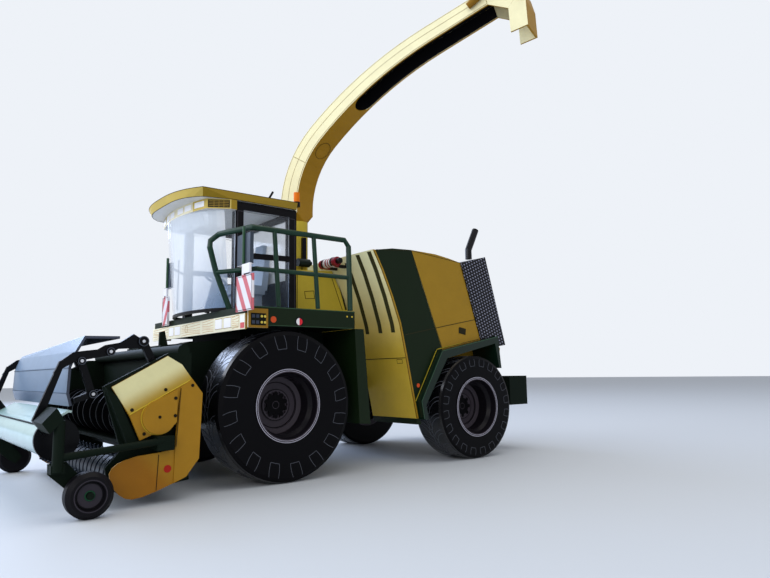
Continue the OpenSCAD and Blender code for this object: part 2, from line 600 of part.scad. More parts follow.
// Folded yellow cover with the raised round drive cover and the lower end plates
module cover_shape() color(yellow) {
  slab([[59.1, 28], [55.6, 20], [44.5, 24.3], [43.2, 36], [39.5, 38.6]], cover_y - card, cover_y);
  hull() {
    slab([[59.1, 28], [39.5, 38.6], [39.2, 37.9], [58.8, 27.3]], cover_y - card, cover_y);
    slab([[61.6, 32.6], [42.2, 43.2], [41.8, 42.4], [61.2, 31.8]], cover_y - 1.8 - card, cover_y - 1.8);
  }
  hull() {
    slab([[61.6, 32.6], [42.2, 43.2], [41.8, 42.4], [61.2, 31.8]], cover_y - 1.8 - card, cover_y - 1.8);
    slab([[63.6, 36.4], [46.5, 46], [46.1, 45.2], [63.2, 35.6]], header_y + seam, header_y + seam + card);
  }
  translate([auger_c[0], cover_y - 0.3, auger_c[1]]) rotate([-90, 0, 0]) cylinder(h = 1.3, r = 5.3);
  slab([[44.5, 25], [48.3, 21.8], [auger_c[0], 21.5], [auger_c[0] + 2.5, 31.4], [44.5, 35.2]],
    cover_y - 0.3, cover_y + 1);
  slab([[44.5, 17], [43.2, 36], [39.5, 38.6], [35.8, 33.8], [36.6, 12.9], [40.7, 7.6], [44.8, 6]],
    cover_y - card, cover_y + 0.2);
  slab([[44.6, 6], [44.5, 16.4], [50.6, 15.7], [56.1, 15.3], [60, 14.3], [61.9, 13.6], [63.4, 12.4], [64.2, 10.8],
    [63.9, 8.8], [62.8, 6.3], [61.2, 4.4], [59.4, 3.1], [57.4, 2.6], [54.3, 2.9], [50, 4.1]],
    cover_y - card, cover_y - 0.2);
}
module cover_left() placed() cover_shape();
module cover_right() placed() mirror([0, 1, 0]) cover_shape();

// Auger: a tube with flights that meet in the middle
module auger() placed() color(black) translate([auger_c[0], 0, auger_c[1]]) {
  rotate([-90, 0, 0]) cylinder(h = 2 * (header_y - 1.2) - 0.6, r = 3.5, center = true);
  for (i = [0:5]) both() translate([0, 4.5 + 8 * i, 0]) rotate([-90, 0, 0]) cylinder(h = 0.9, r = auger_r);
}

// Pick-up reel: bands on a drum with rows of tines between them
reel_pitch = 4.8;
reel_gap = 1.4; // [1:0.1:2]
reel_l = 2 * (header_y - 1.2) - 0.6;
// As many bands as the drum has room for
reel_side = (floor(reel_l / reel_pitch) - 1) / 2;
module pickup_reel() placed() color(black) translate([reel_c[0], 0, reel_c[1]]) {
  rotate([-90, 0, 0]) cylinder(h = reel_l, r = 3.5, center = true);
  for (i = [-reel_side:1:reel_side]) translate([0, i * reel_pitch - (reel_pitch - reel_gap) / 2, 0])
    rotate([-90, 0, 0]) cylinder(h = reel_pitch - reel_gap, r = 6, $fn = 32);
  for (i = [0.5 - reel_side:1:reel_side - 0.5]) for (a = [20, 110, 200, 290])
    translate([0, i * reel_pitch, 0]) rotate([0, a, 0]) cylinder(h = 8, r = 0.35, $fn = 6);
}

// Crop roller with the pale sheet that runs down to it
module crop_roller() placed() color("#cfe0c8") {
  translate([roller[0], 0, roller[1]]) rotate([-90, 0, 0]) cylinder(h = 92, r = roller_r, center = true);
  slab(folded([[81.6, 25.6], [74.4, 29.9], [73.4, 29.6]], 0.7), -46, 46);
}

// Grey folded sheet above the roller, whose top flange tapers away towards the right
hood_y = 46;
module crop_hood() placed() color("#a7a6b2") {
  slab(folded([[73.3, 47.5], [75, 42.8], [75.3, 34.6], [74.3, 30.9]], -card), -hood_y, hood_y);
  hull() {
    slab([[70.8, 52.3], [70.4, 51.5], [72.5, 47.4], [73.3, 47.5]], hood_y - 0.1, hood_y);
    slab([[72.4, 48.6], [72, 48.2], [72.5, 47.4], [73.3, 47.5]], -hood_y, 0.1 - hood_y);
  }
  hull() {
    slab([[60.3, 52.4], [60.3, 51.6], [70.4, 51.5], [70.8, 52.3]], hood_y - 0.1, hood_y);
    slab([[72, 48.6], [72, 48.1], [72.4, 48.1], [72.4, 48.6]], -hood_y, 0.1 - hood_y);
  }
}

// Arms that carry hood and roller, with the roller's end discs
module hood_arms() placed() color(black) both() {
  slab([[52.6, 49.4], [54.2, 51.7], [56.5, 53.1], [60.6, 50.3], [64.8, 49.5], [67, 48.1], [71.3, 47.6],
    [74.3, 47.1], [77.2, 44.8], [79.4, 41], [76, 42.8], [73.5, 44.3], [64.3, 46.1], [61.1, 48.3],
    [55.6, 48.6], [52.6, 48.4]], hood_y + seam, 47.6);
  slab([[52.4, 51.6], [54.6, 51], [51.2, 43.6], [48.6, 43.6]], hood_y + seam, 47.6);
  slab([[70.9, 45], [72.8, 44.6], [69.3, 33.8], [67.3, 34.6]], hood_y + seam, 47.6);
  slab([[67.6, 33.6], [68.6, 35.4], [73.3, 33.3], [73, 31.8]], hood_y - 0.9, 47.6);
  for (p = [[53.5, 50.8, 1.7], [71.8, 44.5, 1.2], [68.2, 34.4, 1.2], [63.5, 47.4, 1.3]])
    translate([p[0], hood_y + 0.5, p[1]]) rotate([-90, 0, 0]) cylinder(h = 1.9, r = p[2], $fn = 24);
  translate([50, hood_y + 0.5, 44.2]) rotate([-90, 0, 0]) cylinder(h = 2.25, r = 1.1, $fn = 24);
  slab([[76.2, 44.5], [77.8, 44.5], [84.4, 27.2], [82.2, 26.2]], hood_y + seam, 47.6);
  translate([roller[0], hood_y + seam, roller[1]]) rotate([-90, 0, 0]) cylinder(h = 1.4, r = roller_r + 0.4);
  slab([[79.5, 31], [84.4, 27.2], [81, 23], [76.6, 27]], hood_y + seam, 48.4);
}

// Castor posts with the push tubes that hold the gauge wheels
module gauge_brackets() placed() color(green) both() {
  slab([[84.3, 27.1], [80.7, 31.2], [78.6, 27.9], [82.2, 24.2]], 48.4 + seam, 60.6);
  rod([79.5, 59, 13.5], [79.5, 59, 27.6], 1.5);
  rod([79.5, 59, 17.3], [49, cover_y + 2, 19.5], 1.1);
  translate([45.8, header_y, 16.6]) cube([5.4, cover_y + 3 - header_y, 4.4]);
  slab([[81.3, 15.5], [76.6, 15.8], [68.9, 6.9], [71.3, 4.2], [73.9, 5.8], [81.2, 12.6]],
    gauge_y - gauge_w - 2.2, gauge_y - gauge_w - 0.7);
  translate([77.6, gauge_y - gauge_w - 2.2, 13]) cube([3.6, 4.6, 2.4]);
  on_axle(gauge_x, gauge_y - gauge_w - 1, gauge_r) cylinder(h = gauge_w + 0.8, r = 1);
}

module gauge_wheel() color(black) on_axle(gauge_x, gauge_y - gauge_w, gauge_r) difference() {
  rotate_extrude() polygon([[0, 0], [gauge_r - 1.2, 0], [gauge_r, 1.2], [gauge_r, gauge_w - 1.2],
    [gauge_r - 1.2, gauge_w], [4, gauge_w], [3.6, gauge_w - 1.2], [0, gauge_w - 1.2]]);
  translate([0, 0, -1]) cylinder(h = gauge_w + 2, r = 1 + stub_gap);
}
module gauge_wheel_left() placed() gauge_wheel();
module gauge_wheel_right() placed() mirror([0, 1, 0]) gauge_wheel();

chassis();
front_axle();
rear_axle();
tyre_front_left();
tyre_front_right();
tyre_rear_left();
tyre_rear_right();
rim_front_left();
rim_front_right();
rim_rear_left();
rim_rear_right();
platform();
light_strip();
step_panels();
cab_frame();
cab_windows();
cab_roof();
roof_lamps();
seat();
steering_column();
railing();
mirror_left();
mirror_right();
chute();
extinguisher();
spout();
spout_flap();
flap_cylinder();
body_front();
body_band();
body_rear();
corner_grilles();
exhaust();
rear_fenders();
rear_weight();
feeder();
header_frame();
cover_left();
cover_right();
auger();
pickup_reel();
crop_roller();
crop_hood();
hood_arms();
gauge_brackets();
gauge_wheel_left();
gauge_wheel_right();
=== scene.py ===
"""Looks of a card scale model of a forage harvester: printed card, drawn details, stage and camera.

Places in this file are millimetres from the point on the table under the front axle, as the model was
measured. place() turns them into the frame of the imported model, in metres."""

import math

import bmesh
import bpy
import numpy as np
from bpy.props import FloatProperty, FloatVectorProperty, IntProperty, PointerProperty
from mathutils import Matrix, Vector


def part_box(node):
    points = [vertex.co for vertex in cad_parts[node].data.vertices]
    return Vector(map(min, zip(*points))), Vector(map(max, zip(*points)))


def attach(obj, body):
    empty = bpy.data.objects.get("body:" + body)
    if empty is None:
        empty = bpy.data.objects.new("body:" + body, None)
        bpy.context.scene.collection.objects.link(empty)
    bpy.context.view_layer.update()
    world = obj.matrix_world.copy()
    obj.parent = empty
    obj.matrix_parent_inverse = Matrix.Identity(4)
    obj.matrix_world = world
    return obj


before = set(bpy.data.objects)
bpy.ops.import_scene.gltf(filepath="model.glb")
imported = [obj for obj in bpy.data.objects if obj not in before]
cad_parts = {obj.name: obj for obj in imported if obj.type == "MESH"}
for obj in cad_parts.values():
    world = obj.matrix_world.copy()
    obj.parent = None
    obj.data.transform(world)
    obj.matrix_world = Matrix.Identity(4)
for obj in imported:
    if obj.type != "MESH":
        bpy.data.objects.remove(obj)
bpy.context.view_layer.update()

bl_info = {
    "name": "Card forage harvester",
    "version": (1, 0, 0),
    "blender": (4, 5, 0),
    "location": "3D View > Sidebar > Harvester",
    "description": "Printed finishes, drawn details and stage of a card scale model of a forage harvester",
    "category": "Object",
}

AXLE = np.array(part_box("front_axle")).mean(axis=0) * [1, 1, 0]
SIDES = {"left": 1, "right": -1}
LEFT, RIGHT, FRONT, TOP, UNDER = (0, 1, 0), (0, -1, 0), (1, 0, 0), (0, 0, 1), (0, 0, -1)


def place(points):
    """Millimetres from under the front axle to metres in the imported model's frame."""
    return np.asarray(points, float) / 1000 + AXLE


def linear(code, alpha=1.0):
    """Turns an sRGB hex colour into linear red, green, blue and alpha."""
    parts = [int(code[i:i + 2], 16) / 255 for i in (1, 3, 5)]
    return tuple(c / 12.92 if c <= 0.04045 else ((c + 0.055) / 1.055) ** 2.4 for c in parts) + (alpha,)


def colour(name, text, code):
    """A colour property with its default given as sRGB hex."""
    return FloatVectorProperty(name=name, description=text, default=linear(code)[:3], size=3,
                               min=0, max=1, subtype="COLOR")


def length(name, text, millimetres):
    """A length property with its default given in millimetres."""
    return FloatProperty(name=name, description=text, default=millimetres / 1000, min=0, unit="LENGTH",
                         precision=5)


class PrintColours(bpy.types.PropertyGroup):
    """Colours that the sheets are printed in."""
    yellow: colour("Yellow", "Yellow of the body, seen from the side", "#a1761a")
    # Pale yellow is painted highlight: the yellow card as the window light washes it out
    pale: colour("Pale yellow", "Washed-out yellow of the front strip and the spout's sides", "#efe8bc")
    green: colour("Green", "Dark green of beam, band and frame", "#13210f")
    black: colour("Black", "Black of cab frame, arms and exhaust", "#0b090c")
    tyre: colour("Tyre black", "Blue black of the tyres", "#060609")
    rim: colour("Rim grey", "Dark grey of the wheel discs", "#423c43")
    steel: colour("Sheet grey", "Blue grey of the header's folded hood", "#3f4553")
    mint: colour("Roller green", "Pale green of the crop roller", "#b4cfcb")


class PrintSizes(bpy.types.PropertyGroup):
    """Sizes of what is printed on the sheets."""
    line: length("Line", "Width of a thin printed line", 0.26)
    lift: length("Lift", "How far ink and labels stand off the card", 0.05)
    grain: length("Grain", "Size of the card's fibre pattern", 0.5)
    lugs: IntProperty(name="Lugs", description="Number of lugs drawn round a front tyre", default=16, min=8)
    small_lugs: IntProperty(name="Rear lugs", description="Number of lugs drawn round a rear tyre",
                            default=20, min=8)


class StageSettings(bpy.types.PropertyGroup):
    """Light and camera."""
    world: FloatProperty(name="World", description="Strength of the even light from all round",
                         default=0.62, min=0)
    lamp: FloatProperty(name="Lamp", description="Power of the large soft lamp", default=1.0, min=0,
                        unit="POWER")
    view: length("Focal length", "Focal length of the camera for a 36 mm sensor", 29.78)


def colours():
    """The colours set in the sidebar."""
    return bpy.context.scene.harvester_colours


def sizes():
    """The sizes set in the sidebar."""
    return bpy.context.scene.harvester_sizes


def rgba(value):
    """A property's colour with full alpha, or a hex code turned to linear."""
    return linear(value) if isinstance(value, str) else tuple(value) + (1.0,)


# Materials: home-printed and laser-printed card. Uncoated card scatters light softly; where it is glossy or
# lacquered, a clear coat mirrors the window in broad, soft streaks.

# Metres: depth of the fibres' bump, and size of the clouds in the ink
FIBRE_DEPTH, CLOUD_SIZE = 0.012e-3, 7e-3
# The printed mesh of the corner shells: its steps, and how far its columns lean
COLUMN_STEP, ROW_STEP, SHELL_LEAN = 1.9e-3, 1.5e-3, 0.332
# The plates' stripes: upright step, and the drop over the way outwards
STRIPE_STEP, STRIPE_SLOPE = 11.2e-3, 1.7


def feed(material, node, inputs):
    """Sets a node's inputs to numbers and colours, or links them to a socket or a node's first output."""
    for key, value in inputs.items():
        if isinstance(value, bpy.types.Node):
            value = value.outputs[0]
        if isinstance(value, bpy.types.NodeSocket):
            material.node_tree.links.new(value, node.inputs[key])
        else:
            node.inputs[key].default_value = value


def add(material, kind, inputs=None, **settings):
    """Adds a node with its settings, and sets or links its inputs."""
    node = material.node_tree.nodes.new(kind)
    for key, value in settings.items():
        setattr(node, key, value)
    feed(material, node, inputs or {})
    return node


def blank(name):
    """An empty material whose surface is a principled shader, which is returned with it."""
    material = bpy.data.materials.new(name)
    material.use_nodes = True
    return material, material.node_tree.nodes["Principled BSDF"]


def fibres(material, shader):
    """Fine bump of pressed paper fibres, drawn coarser than real ones so that they show. Gives the place on
    the model, in metres of its frame."""
    where = add(material, "ShaderNodeTexCoord").outputs["Object"]
    grain = add(material, "ShaderNodeTexNoise", {
        "Vector": where, "Scale": 1 / sizes().grain, "Detail": 3.0, "Roughness": 0.6})
    bump = add(material, "ShaderNodeBump", {"Height": grain, "Strength": 0.35, "Distance": FIBRE_DEPTH})
    feed(material, shader, {"Normal": bump})
    return where


def printed(material, below, *layers):
    """The colour below with layers printed over it in turn, each a mask and the colour that shows where the
    mask is 1."""
    for mask, above in layers:
        below = add(material, "ShaderNodeMix", {0: mask, 6: below, 7: above}, data_type="RGBA").outputs[2]
    return below


def mottled(material, where, base, amount=0.12):
    """Base colour with faint clouds, the uneven ink cover of a home printer."""
    base = np.array(rgba(base)[:3])
    dark, light = (rgba(np.minimum(base * share, 1.0)) for share in (1 - amount, 1 + amount))
    clouds = add(material, "ShaderNodeTexNoise", {
        "Vector": where, "Scale": 1 / CLOUD_SIZE, "Detail": 4.0, "Roughness": 0.65})
    return printed(material, dark, (clouds, light))


def facing(material, direction, limit):
    """1 where the card's own outward direction runs along the given one, 0 elsewhere."""
    normal = add(material, "ShaderNodeTexCoord").outputs["Normal"]
    dot = add(material, "ShaderNodeVectorMath", {0: normal, 1: direction}, operation="DOT_PRODUCT")
    return add(material, "ShaderNodeMath", {0: dot.outputs["Value"], 1: limit}, operation="GREATER_THAN")


def beyond(material, axis, limit):
    """1 where the place along X, Y or Z, in millimetres as measured, is beyond the limit, 0 elsewhere."""
    where = add(material, "ShaderNodeTexCoord").outputs["Object"]
    split = add(material, "ShaderNodeSeparateXYZ", {0: where})
    limit = place([limit] * 3)["XYZ".index(axis)]
    return add(material, "ShaderNodeMath", {0: split.outputs[axis], 1: limit}, operation="GREATER_THAN")


def product(material, *masks):
    """Masks multiplied with each other."""
    seen = masks[0]
    for other in masks[1:]:
        seen = add(material, "ShaderNodeMath", {0: seen, 1: other}, operation="MULTIPLY")
    return seen


def rising(material, where, first, last, start, way, amount):
    """Mottled colour that runs from the first one at a point to the last one at the end of the way from
    there, by the share of the way that is covered, both in millimetres."""
    along = np.array(way, float) / 1000
    along /= along @ along
    begin = float(place(start) @ along)
    covered = add(material, "ShaderNodeVectorMath", {0: where, 1: along}, operation="DOT_PRODUCT")
    share = add(material, "ShaderNodeMapRange", {
        "Value": covered.outputs["Value"], "From Min": begin, "From Max": begin + 1},
        interpolation_type="SMOOTHSTEP")
    return printed(material, mottled(material, where, first, amount),
                   (share, mottled(material, where, last, amount)))


def card(name, base, rough=0.5, coat=0.0, tones=(), parts=(), amount=0.12, matt_sides=False):
    """Printed card: mottled ink over fine fibres; tones are (direction, colour, limit) for faces that look
    one way, some in another print and some with painted light and shade, parts are (colour, axis and limit,
    ...) for areas beyond limits; the coat can stay off the side faces.
    A tone may be two colours with the point and the way between which one turns into the other."""
    material, shader = blank(name)
    where = fibres(material, shader)
    seen = mottled(material, where, base, amount)
    for direction, other, limit in tones:
        if isinstance(other, tuple):
            face = rising(material, where, *other, amount)
        else:
            face = mottled(material, where, other, amount)
        seen = printed(material, seen, (facing(material, direction, limit), face))
    for other, *limits in parts:
        inside = product(material, *(beyond(material, axis, limit) for axis, limit in limits))
        seen = printed(material, seen, (inside, mottled(material, where, other, amount)))
    feed(material, shader, {"Base Color": seen, "Roughness": rough, "Specular IOR Level": 0.08,
                            "Coat Roughness": 0.22, "Coat Weight": coat})
    if matt_sides:
        left, right = (facing(material, (0, side, 0), 0.8) for side in SIDES.values())
        side = add(material, "ShaderNodeMath", {0: left, 1: right}, operation="ADD")
        cover = add(material, "ShaderNodeMapRange", {"Value": side, "To Min": coat, "To Max": 0.0})
        feed(material, shader, {"Coat IOR": 1.6, "Coat Weight": cover})
    return material


def ink(name, code, rough=0.55):
    """Printed ink or a small glued label in one colour: matt, with faint clouds."""
    return card(name, code, rough=rough, amount=0.06)


def film():
    """Clear film of a document sleeve, smooth and thin: it mirrors the window. Painted glare makes it milkier
    on the faces that look forward, and painted shade of the dim cab behind it makes it bluish low down on the
    left."""
    material, shader = blank("clear_film")
    where = add(material, "ShaderNodeTexCoord").outputs["Object"]
    # Painted shade: bluish low down on the left, pale higher up
    tint = rising(material, where, "#86a4ca", "#e8f1fb", (0, 24, 62), (0, -18, 22), 0.06)
    # Painted glare: milkier on the faces that look forward
    painted_glare = add(material, "ShaderNodeMapRange", {
        "Value": facing(material, FRONT, 0.5), "To Min": 0.04, "To Max": 0.42})
    feed(material, shader, {"Base Color": tint, "Alpha": painted_glare, "Roughness": 0.06, "IOR": 1.3,
                            "Coat Weight": 0.6, "Coat Roughness": 0.04})
    return material


def perforated():
    """Laser-printed black card with columns of small pale squares, which reads as perforated sheet. The
    columns lean with the shell, every other one half a step up: across and up are divided by the steps, and
    a square is where both fractions are near a half."""
    material, shader = blank("dotted_card")
    where = fibres(material, shader)
    split = add(material, "ShaderNodeSeparateXYZ", {0: where})
    sides = [facing(material, (0, side, 0), 0.5) for side in SIDES.values()]
    side = add(material, "ShaderNodeMath", dict(enumerate(sides)), operation="MAXIMUM")
    across = add(material, "ShaderNodeMix", {0: side, 2: split.outputs["Y"], 3: split.outputs["X"]})
    lean = add(material, "ShaderNodeMath", {0: split.outputs["Z"], 1: SHELL_LEAN}, operation="MULTIPLY")
    across = add(material, "ShaderNodeMath", {0: across, 1: lean}, operation="SUBTRACT")
    column = add(material, "ShaderNodeMath", {0: across, 1: COLUMN_STEP}, operation="DIVIDE")
    number = add(material, "ShaderNodeMath", {0: column}, operation="FLOOR")
    half = add(material, "ShaderNodeMath", {0: number, 1: 0.5}, operation="MULTIPLY")
    row = add(material, "ShaderNodeMath", {0: split.outputs["Z"], 1: ROW_STEP}, operation="DIVIDE")
    row = add(material, "ShaderNodeMath", {0: row, 1: half}, operation="ADD")
    masks = []
    for value, reach in ((column, 0.2), (row, 0.22)):
        part = add(material, "ShaderNodeMath", {0: value}, operation="FRACT")
        part = add(material, "ShaderNodeMath", {0: part, 1: 0.5}, operation="SUBTRACT")
        part = add(material, "ShaderNodeMath", {0: part}, operation="ABSOLUTE")
        masks.append(add(material, "ShaderNodeMath", {0: part, 1: reach}, operation="LESS_THAN"))
    squares = product(material, *masks)
    seen = printed(material, mottled(material, where, "#121116", 0.2), (squares, linear("#8b8ea0")))
    feed(material, shader, {"Base Color": seen, "Roughness": 0.45, "Specular IOR Level": 0.2})
    return material


def striped():
    """Inkjet-printed mirror sets: white plates with slanted pink stripes, where the height plus the slope
    times the way from the middle, divided by the step, has a small fraction; above them a slate blue mirror
    on a green post."""
    material, shader = blank("striped_card")
    where = fibres(material, shader)
    split = add(material, "ShaderNodeSeparateXYZ", {0: where})
    way = add(material, "ShaderNodeMath", {0: split.outputs["Y"]}, operation="ABSOLUTE")
    slope = add(material, "ShaderNodeMath", {0: way, 1: STRIPE_SLOPE, 2: split.outputs["Z"]},
                operation="MULTIPLY_ADD")
    step = add(material, "ShaderNodeMath", {0: slope, 1: STRIPE_STEP}, operation="DIVIDE")
    share = add(material, "ShaderNodeMath", {0: step}, operation="FRACT")
    stripe = add(material, "ShaderNodeMath", {0: share, 1: 0.45}, operation="LESS_THAN")
    seen = printed(material, mottled(material, where, "#e4e2e6", 0.05),
                   (stripe, mottled(material, where, "#cf6a72")))
    mirror = ("Z", 79.4)
    for code, amount, *limits in (("#e9e8ec", 0.05, ("Z", 75.4)), ("#38414d", 0.2, mirror),
                                  ("#24492f", 0.12, mirror, ("X", 18.3))):
        inside = product(material, *(beyond(material, *limit) for limit in limits))
        seen = printed(material, seen, (inside, mottled(material, where, code, amount)))
    feed(material, shader, {"Base Color": seen, "Roughness": 0.4, "Specular IOR Level": 0.25})
    return material


def dress(material, *nodes):
    """Gives CAD nodes a material in place of their plain one."""
    for name in nodes:
        mesh_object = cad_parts[name]
        if not mesh_object.material_slots:
            mesh_object.data.materials.append(material)
        for slot in mesh_object.material_slots:
            slot.link = "OBJECT"
            slot.material = material


# Surfaces

# Points closer than this many metres are one
WELD = 2e-6


def new_object(name, data):
    """Makes an object of a mesh, light or camera and links it to the scene."""
    made = bpy.data.objects.new(name, data)
    bpy.context.scene.collection.objects.link(made)
    return made


def piece(name, grids, material, body="machine", thick=0.05):
    """Joins grids of points, rows by columns by three in millimetres, into one mesh of quads with a wall."""
    points, quads, start = [], [], 0
    for grid in grids:
        grid = np.asarray(grid, float)
        rows, columns = grid.shape[:2]
        index = np.arange(rows * columns).reshape(rows, columns) + start
        quad = np.stack([index[:-1, :-1], index[:-1, 1:], index[1:, 1:], index[1:, :-1]], -1)
        quads.append(quad.reshape(-1, 4))
        points.append(grid.reshape(-1, 3))
        start += rows * columns
    mesh = bpy.data.meshes.new(name)
    mesh.from_pydata(place(np.concatenate(points)).tolist(), [], np.concatenate(quads).tolist())
    shape = bmesh.new()
    shape.from_mesh(mesh)
    bmesh.ops.remove_doubles(shape, verts=shape.verts, dist=WELD)
    shape.to_mesh(mesh)
    shape.free()
    mesh.materials.append(material)
    made = new_object(name, mesh)
    if thick:
        wall = made.modifiers.new("Wall", "SOLIDIFY")
        wall.thickness = thick / 1000
        wall.offset = 0
    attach(made, body)


def line(path, normal, width=None):
    """Ribbon along a path: two edges, half the width to each side, square to path and normal, lifted."""
    path = np.asarray(path, float)
    normal = np.broadcast_to(np.asarray(normal, float), path.shape)
    run = np.gradient(path, axis=0)
    run /= np.linalg.norm(run, axis=1, keepdims=True)
    across = np.cross(normal, run)
    half = (width or sizes().line * 1000) / 2
    lifted = path + normal * sizes().lift * 1000
    return np.stack([lifted - across * half, lifted + across * half])


def strokes(corners, normal, width=None, closed=False):
    """Ribbons along straight steps from corner to corner, one for each step, with square ends."""
    corners = np.asarray(corners, float)
    ends = np.roll(corners, -1, 0) if closed else corners[1:]
    half = (width or sizes().line * 1000) / 2
    made = []
    for a, b in zip(corners, ends):
        run = (b - a) / np.linalg.norm(b - a)
        made.append(line(np.stack([a - run * half, b + run * half]), normal, width))
    return made


def rise(normal, lift):
    """The way along a normal that a piece is lifted: what is asked for, or the printed lift."""
    return np.asarray(normal, float) * (sizes().lift * 1000 if lift is None else lift)


def area(a, b, c, d, normal, lift=None):
    """Flat quad between four corners, lifted along its normal."""
    return np.array([[a, b], [d, c]], float) + rise(normal, lift)


def on_plane(corners, axis, value):
    """Corners given by two measures each, put on the plane axis = value."""
    return np.insert(np.array(corners, float), axis, value, axis=1)


def box_on(low, high, normal, axis, value):
    """Upright rectangle between two corners on the plane axis = value."""
    (u0, w0), (u1, w1) = low, high
    return area(*on_plane([[u0, w0], [u1, w0], [u1, w1], [u0, w1]], axis, value), normal)


def disc(centre, normal, outer, inner=0.0, steps=32, lift=None):
    """Flat ring: radius from inner to outer, angle all round, square to the normal."""
    normal = np.asarray(normal, float)
    guide = TOP if abs(normal[2]) < 0.9 else FRONT
    u = np.cross(guide, normal)
    u /= np.linalg.norm(u)
    v = np.cross(normal, u)
    angle = np.linspace(0, 2 * np.pi, steps + 1)
    ring = np.cos(angle)[:, None] * u + np.sin(angle)[:, None] * v
    return centre + rise(normal, lift) + np.array([outer, inner])[:, None, None] * ring


def mirrored(grids):
    """The same grids on the other side, with their rows turned so that they still face outwards."""
    return [grid[::-1] * [1, -1, 1] for grid in grids]


def both(grids):
    """The grids of the left side and their mirrored copies on the right."""
    return grids + mirrored(grids)


def rod(path, radius, steps=10):
    """Round bar along a path: circle of the radius carried along it, closed at both ends."""
    path = np.asarray(path, float)
    run = np.gradient(path, axis=0)
    run /= np.linalg.norm(run, axis=1, keepdims=True)
    guide = np.eye(3)[np.argmin(np.abs(run).max(axis=0))]
    u = np.cross(guide, run)
    u /= np.linalg.norm(u, axis=1, keepdims=True)
    v = np.cross(run, u)
    angle = np.linspace(0, 2 * np.pi, steps + 1)
    ring = np.cos(angle)[None, :, None] * u[:, None] + np.sin(angle)[None, :, None] * v[:, None]
    ends = (np.repeat(path[i, None, None], steps + 1, 1) for i in (0, -1))
    return np.concatenate([next(ends), path[:, None] + radius * ring, next(ends)])


# Wheels

# Centre x and z, outer face y, tread width, radius
WHEELS = {"front": (0.0, 28.0, 48.5, 18.0, 28.0), "rear": (-98.6, 23.4, 51.0, 17.5, 23.4)}
LUG_START = math.radians(7.3)
GAUGE_X, GAUGE_Z = 71.3, 6.5


def round_wheel(centre_x, centre_z, radius, angle, y):
    """Points at radius and angle, clockwise from the top seen from the left, on the plane y."""
    radius, angle, y = np.broadcast_arrays(radius, angle, y)
    return np.stack([centre_x + radius * np.sin(angle), y, centre_z + radius * np.cos(angle)], -1)


def tongue(reach, run, half, y0, hand):
    """Outline of one tongue on the unrolled tread as (way round, y): it starts at the shoulder square to it,
    bends into the wheel's running direction and ends round, half to each side of its middle line."""
    s = np.linspace(0, 1, 9)
    middle = np.stack([run * (1 - np.cos(s * np.pi / 2)), reach * np.sin(s * np.pi / 2 * 0.96)], -1)
    way = np.gradient(middle, axis=0)
    way /= np.linalg.norm(way, axis=1, keepdims=True)
    across = np.stack([-way[:, 1], way[:, 0]], -1)
    turn = np.linspace(np.pi / 2, -np.pi / 2, 7)[1:-1, None]
    cap = middle[-1] + half * (np.cos(turn) * way[-1] + np.sin(turn) * across[-1])
    outline = np.concatenate([middle + half * across, cap, (middle - half * across)[::-1]])
    outline[:, 1] = np.maximum(outline[:, 1], 0)
    return np.stack([outline[:, 0], y0 - hand * outline[:, 1]], -1)


def lug_lines(kind, side):
    """Outlines of the lugs: on the side wall a U that opens outwards, on the tread a bent tongue from each
    shoulder, the two rows half a step apart."""
    x, z, face, width, radius = WHEELS[kind]
    front = kind == "front"
    count = sizes().lugs if front else sizes().small_lugs
    shoulder = 2.0 if front else 1.5
    inner, outer = (21.0, 27.3) if front else (18.7, 22.0)
    low, top, lean = np.radians((5.0, 3.7, 2.2) if front else (4.3, 3.9, 0.5))
    t = np.linspace(0, 1, 6)
    grids = []
    reach = inner + (outer - inner) * t
    level = face - np.maximum(0, reach - (radius - shoulder))
    half = low + (top - low) * t
    for k in range(count):
        turn = 2 * math.pi * k / count + LUG_START
        for hand in SIDES.values():
            bow = hand * math.radians(0.7) * np.sin(np.pi * t)
            angle = turn + hand * half + lean * t + bow
            grids.append(line(round_wheel(x, z, reach, angle, level), LEFT, 0.17))
        grids.append(line(round_wheel(x, z, inner, turn + low * (2 * t - 1), face), LEFT, 0.17))
    run, half = (11.5, 1.25) if front else (9.5, 0.9)
    for hand in SIDES.values():
        y0 = face - shoulder if hand > 0 else face - width + shoulder
        for k in range(count):
            way, y = tongue(width / 2 - shoulder + 0.6, run, half, y0, hand).T
            angle = way / radius + 2 * math.pi * (k + (0.5 if hand < 0 else 0)) / count + LUG_START
            grids.append(line(round_wheel(x, z, radius, angle, y), round_wheel(0, 0, 1.0, angle, 0 * y)))
    return [grid * [1, side, 1] for grid in grids]


class HARVESTER_OT_tyres(bpy.types.Operator):
    """Black glossy card on the tyres, with the thin outlines of lugs on side wall and tread"""
    bl_idname = "harvester.tyres"
    bl_label = "Tyres"

    def execute(self, context):
        # Laser-printed black on glossy card: nearly black, with a clear blue-grey sheen
        black = card("glossy_black_card", colours().tyre, rough=0.4, coat=1.0, amount=0.25,
                     matt_sides=True)
        lines = ink("lug_outline_ink", "#54575f")
        for kind in WHEELS:
            for hand, side in SIDES.items():
                dress(black, f"tyre_{kind}_{hand}")
                piece(f"lugs_{kind}_{hand}", lug_lines(kind, side), lines,
                      f"wheel_{kind}_{hand}", thick=0.04)
        return {"FINISHED"}


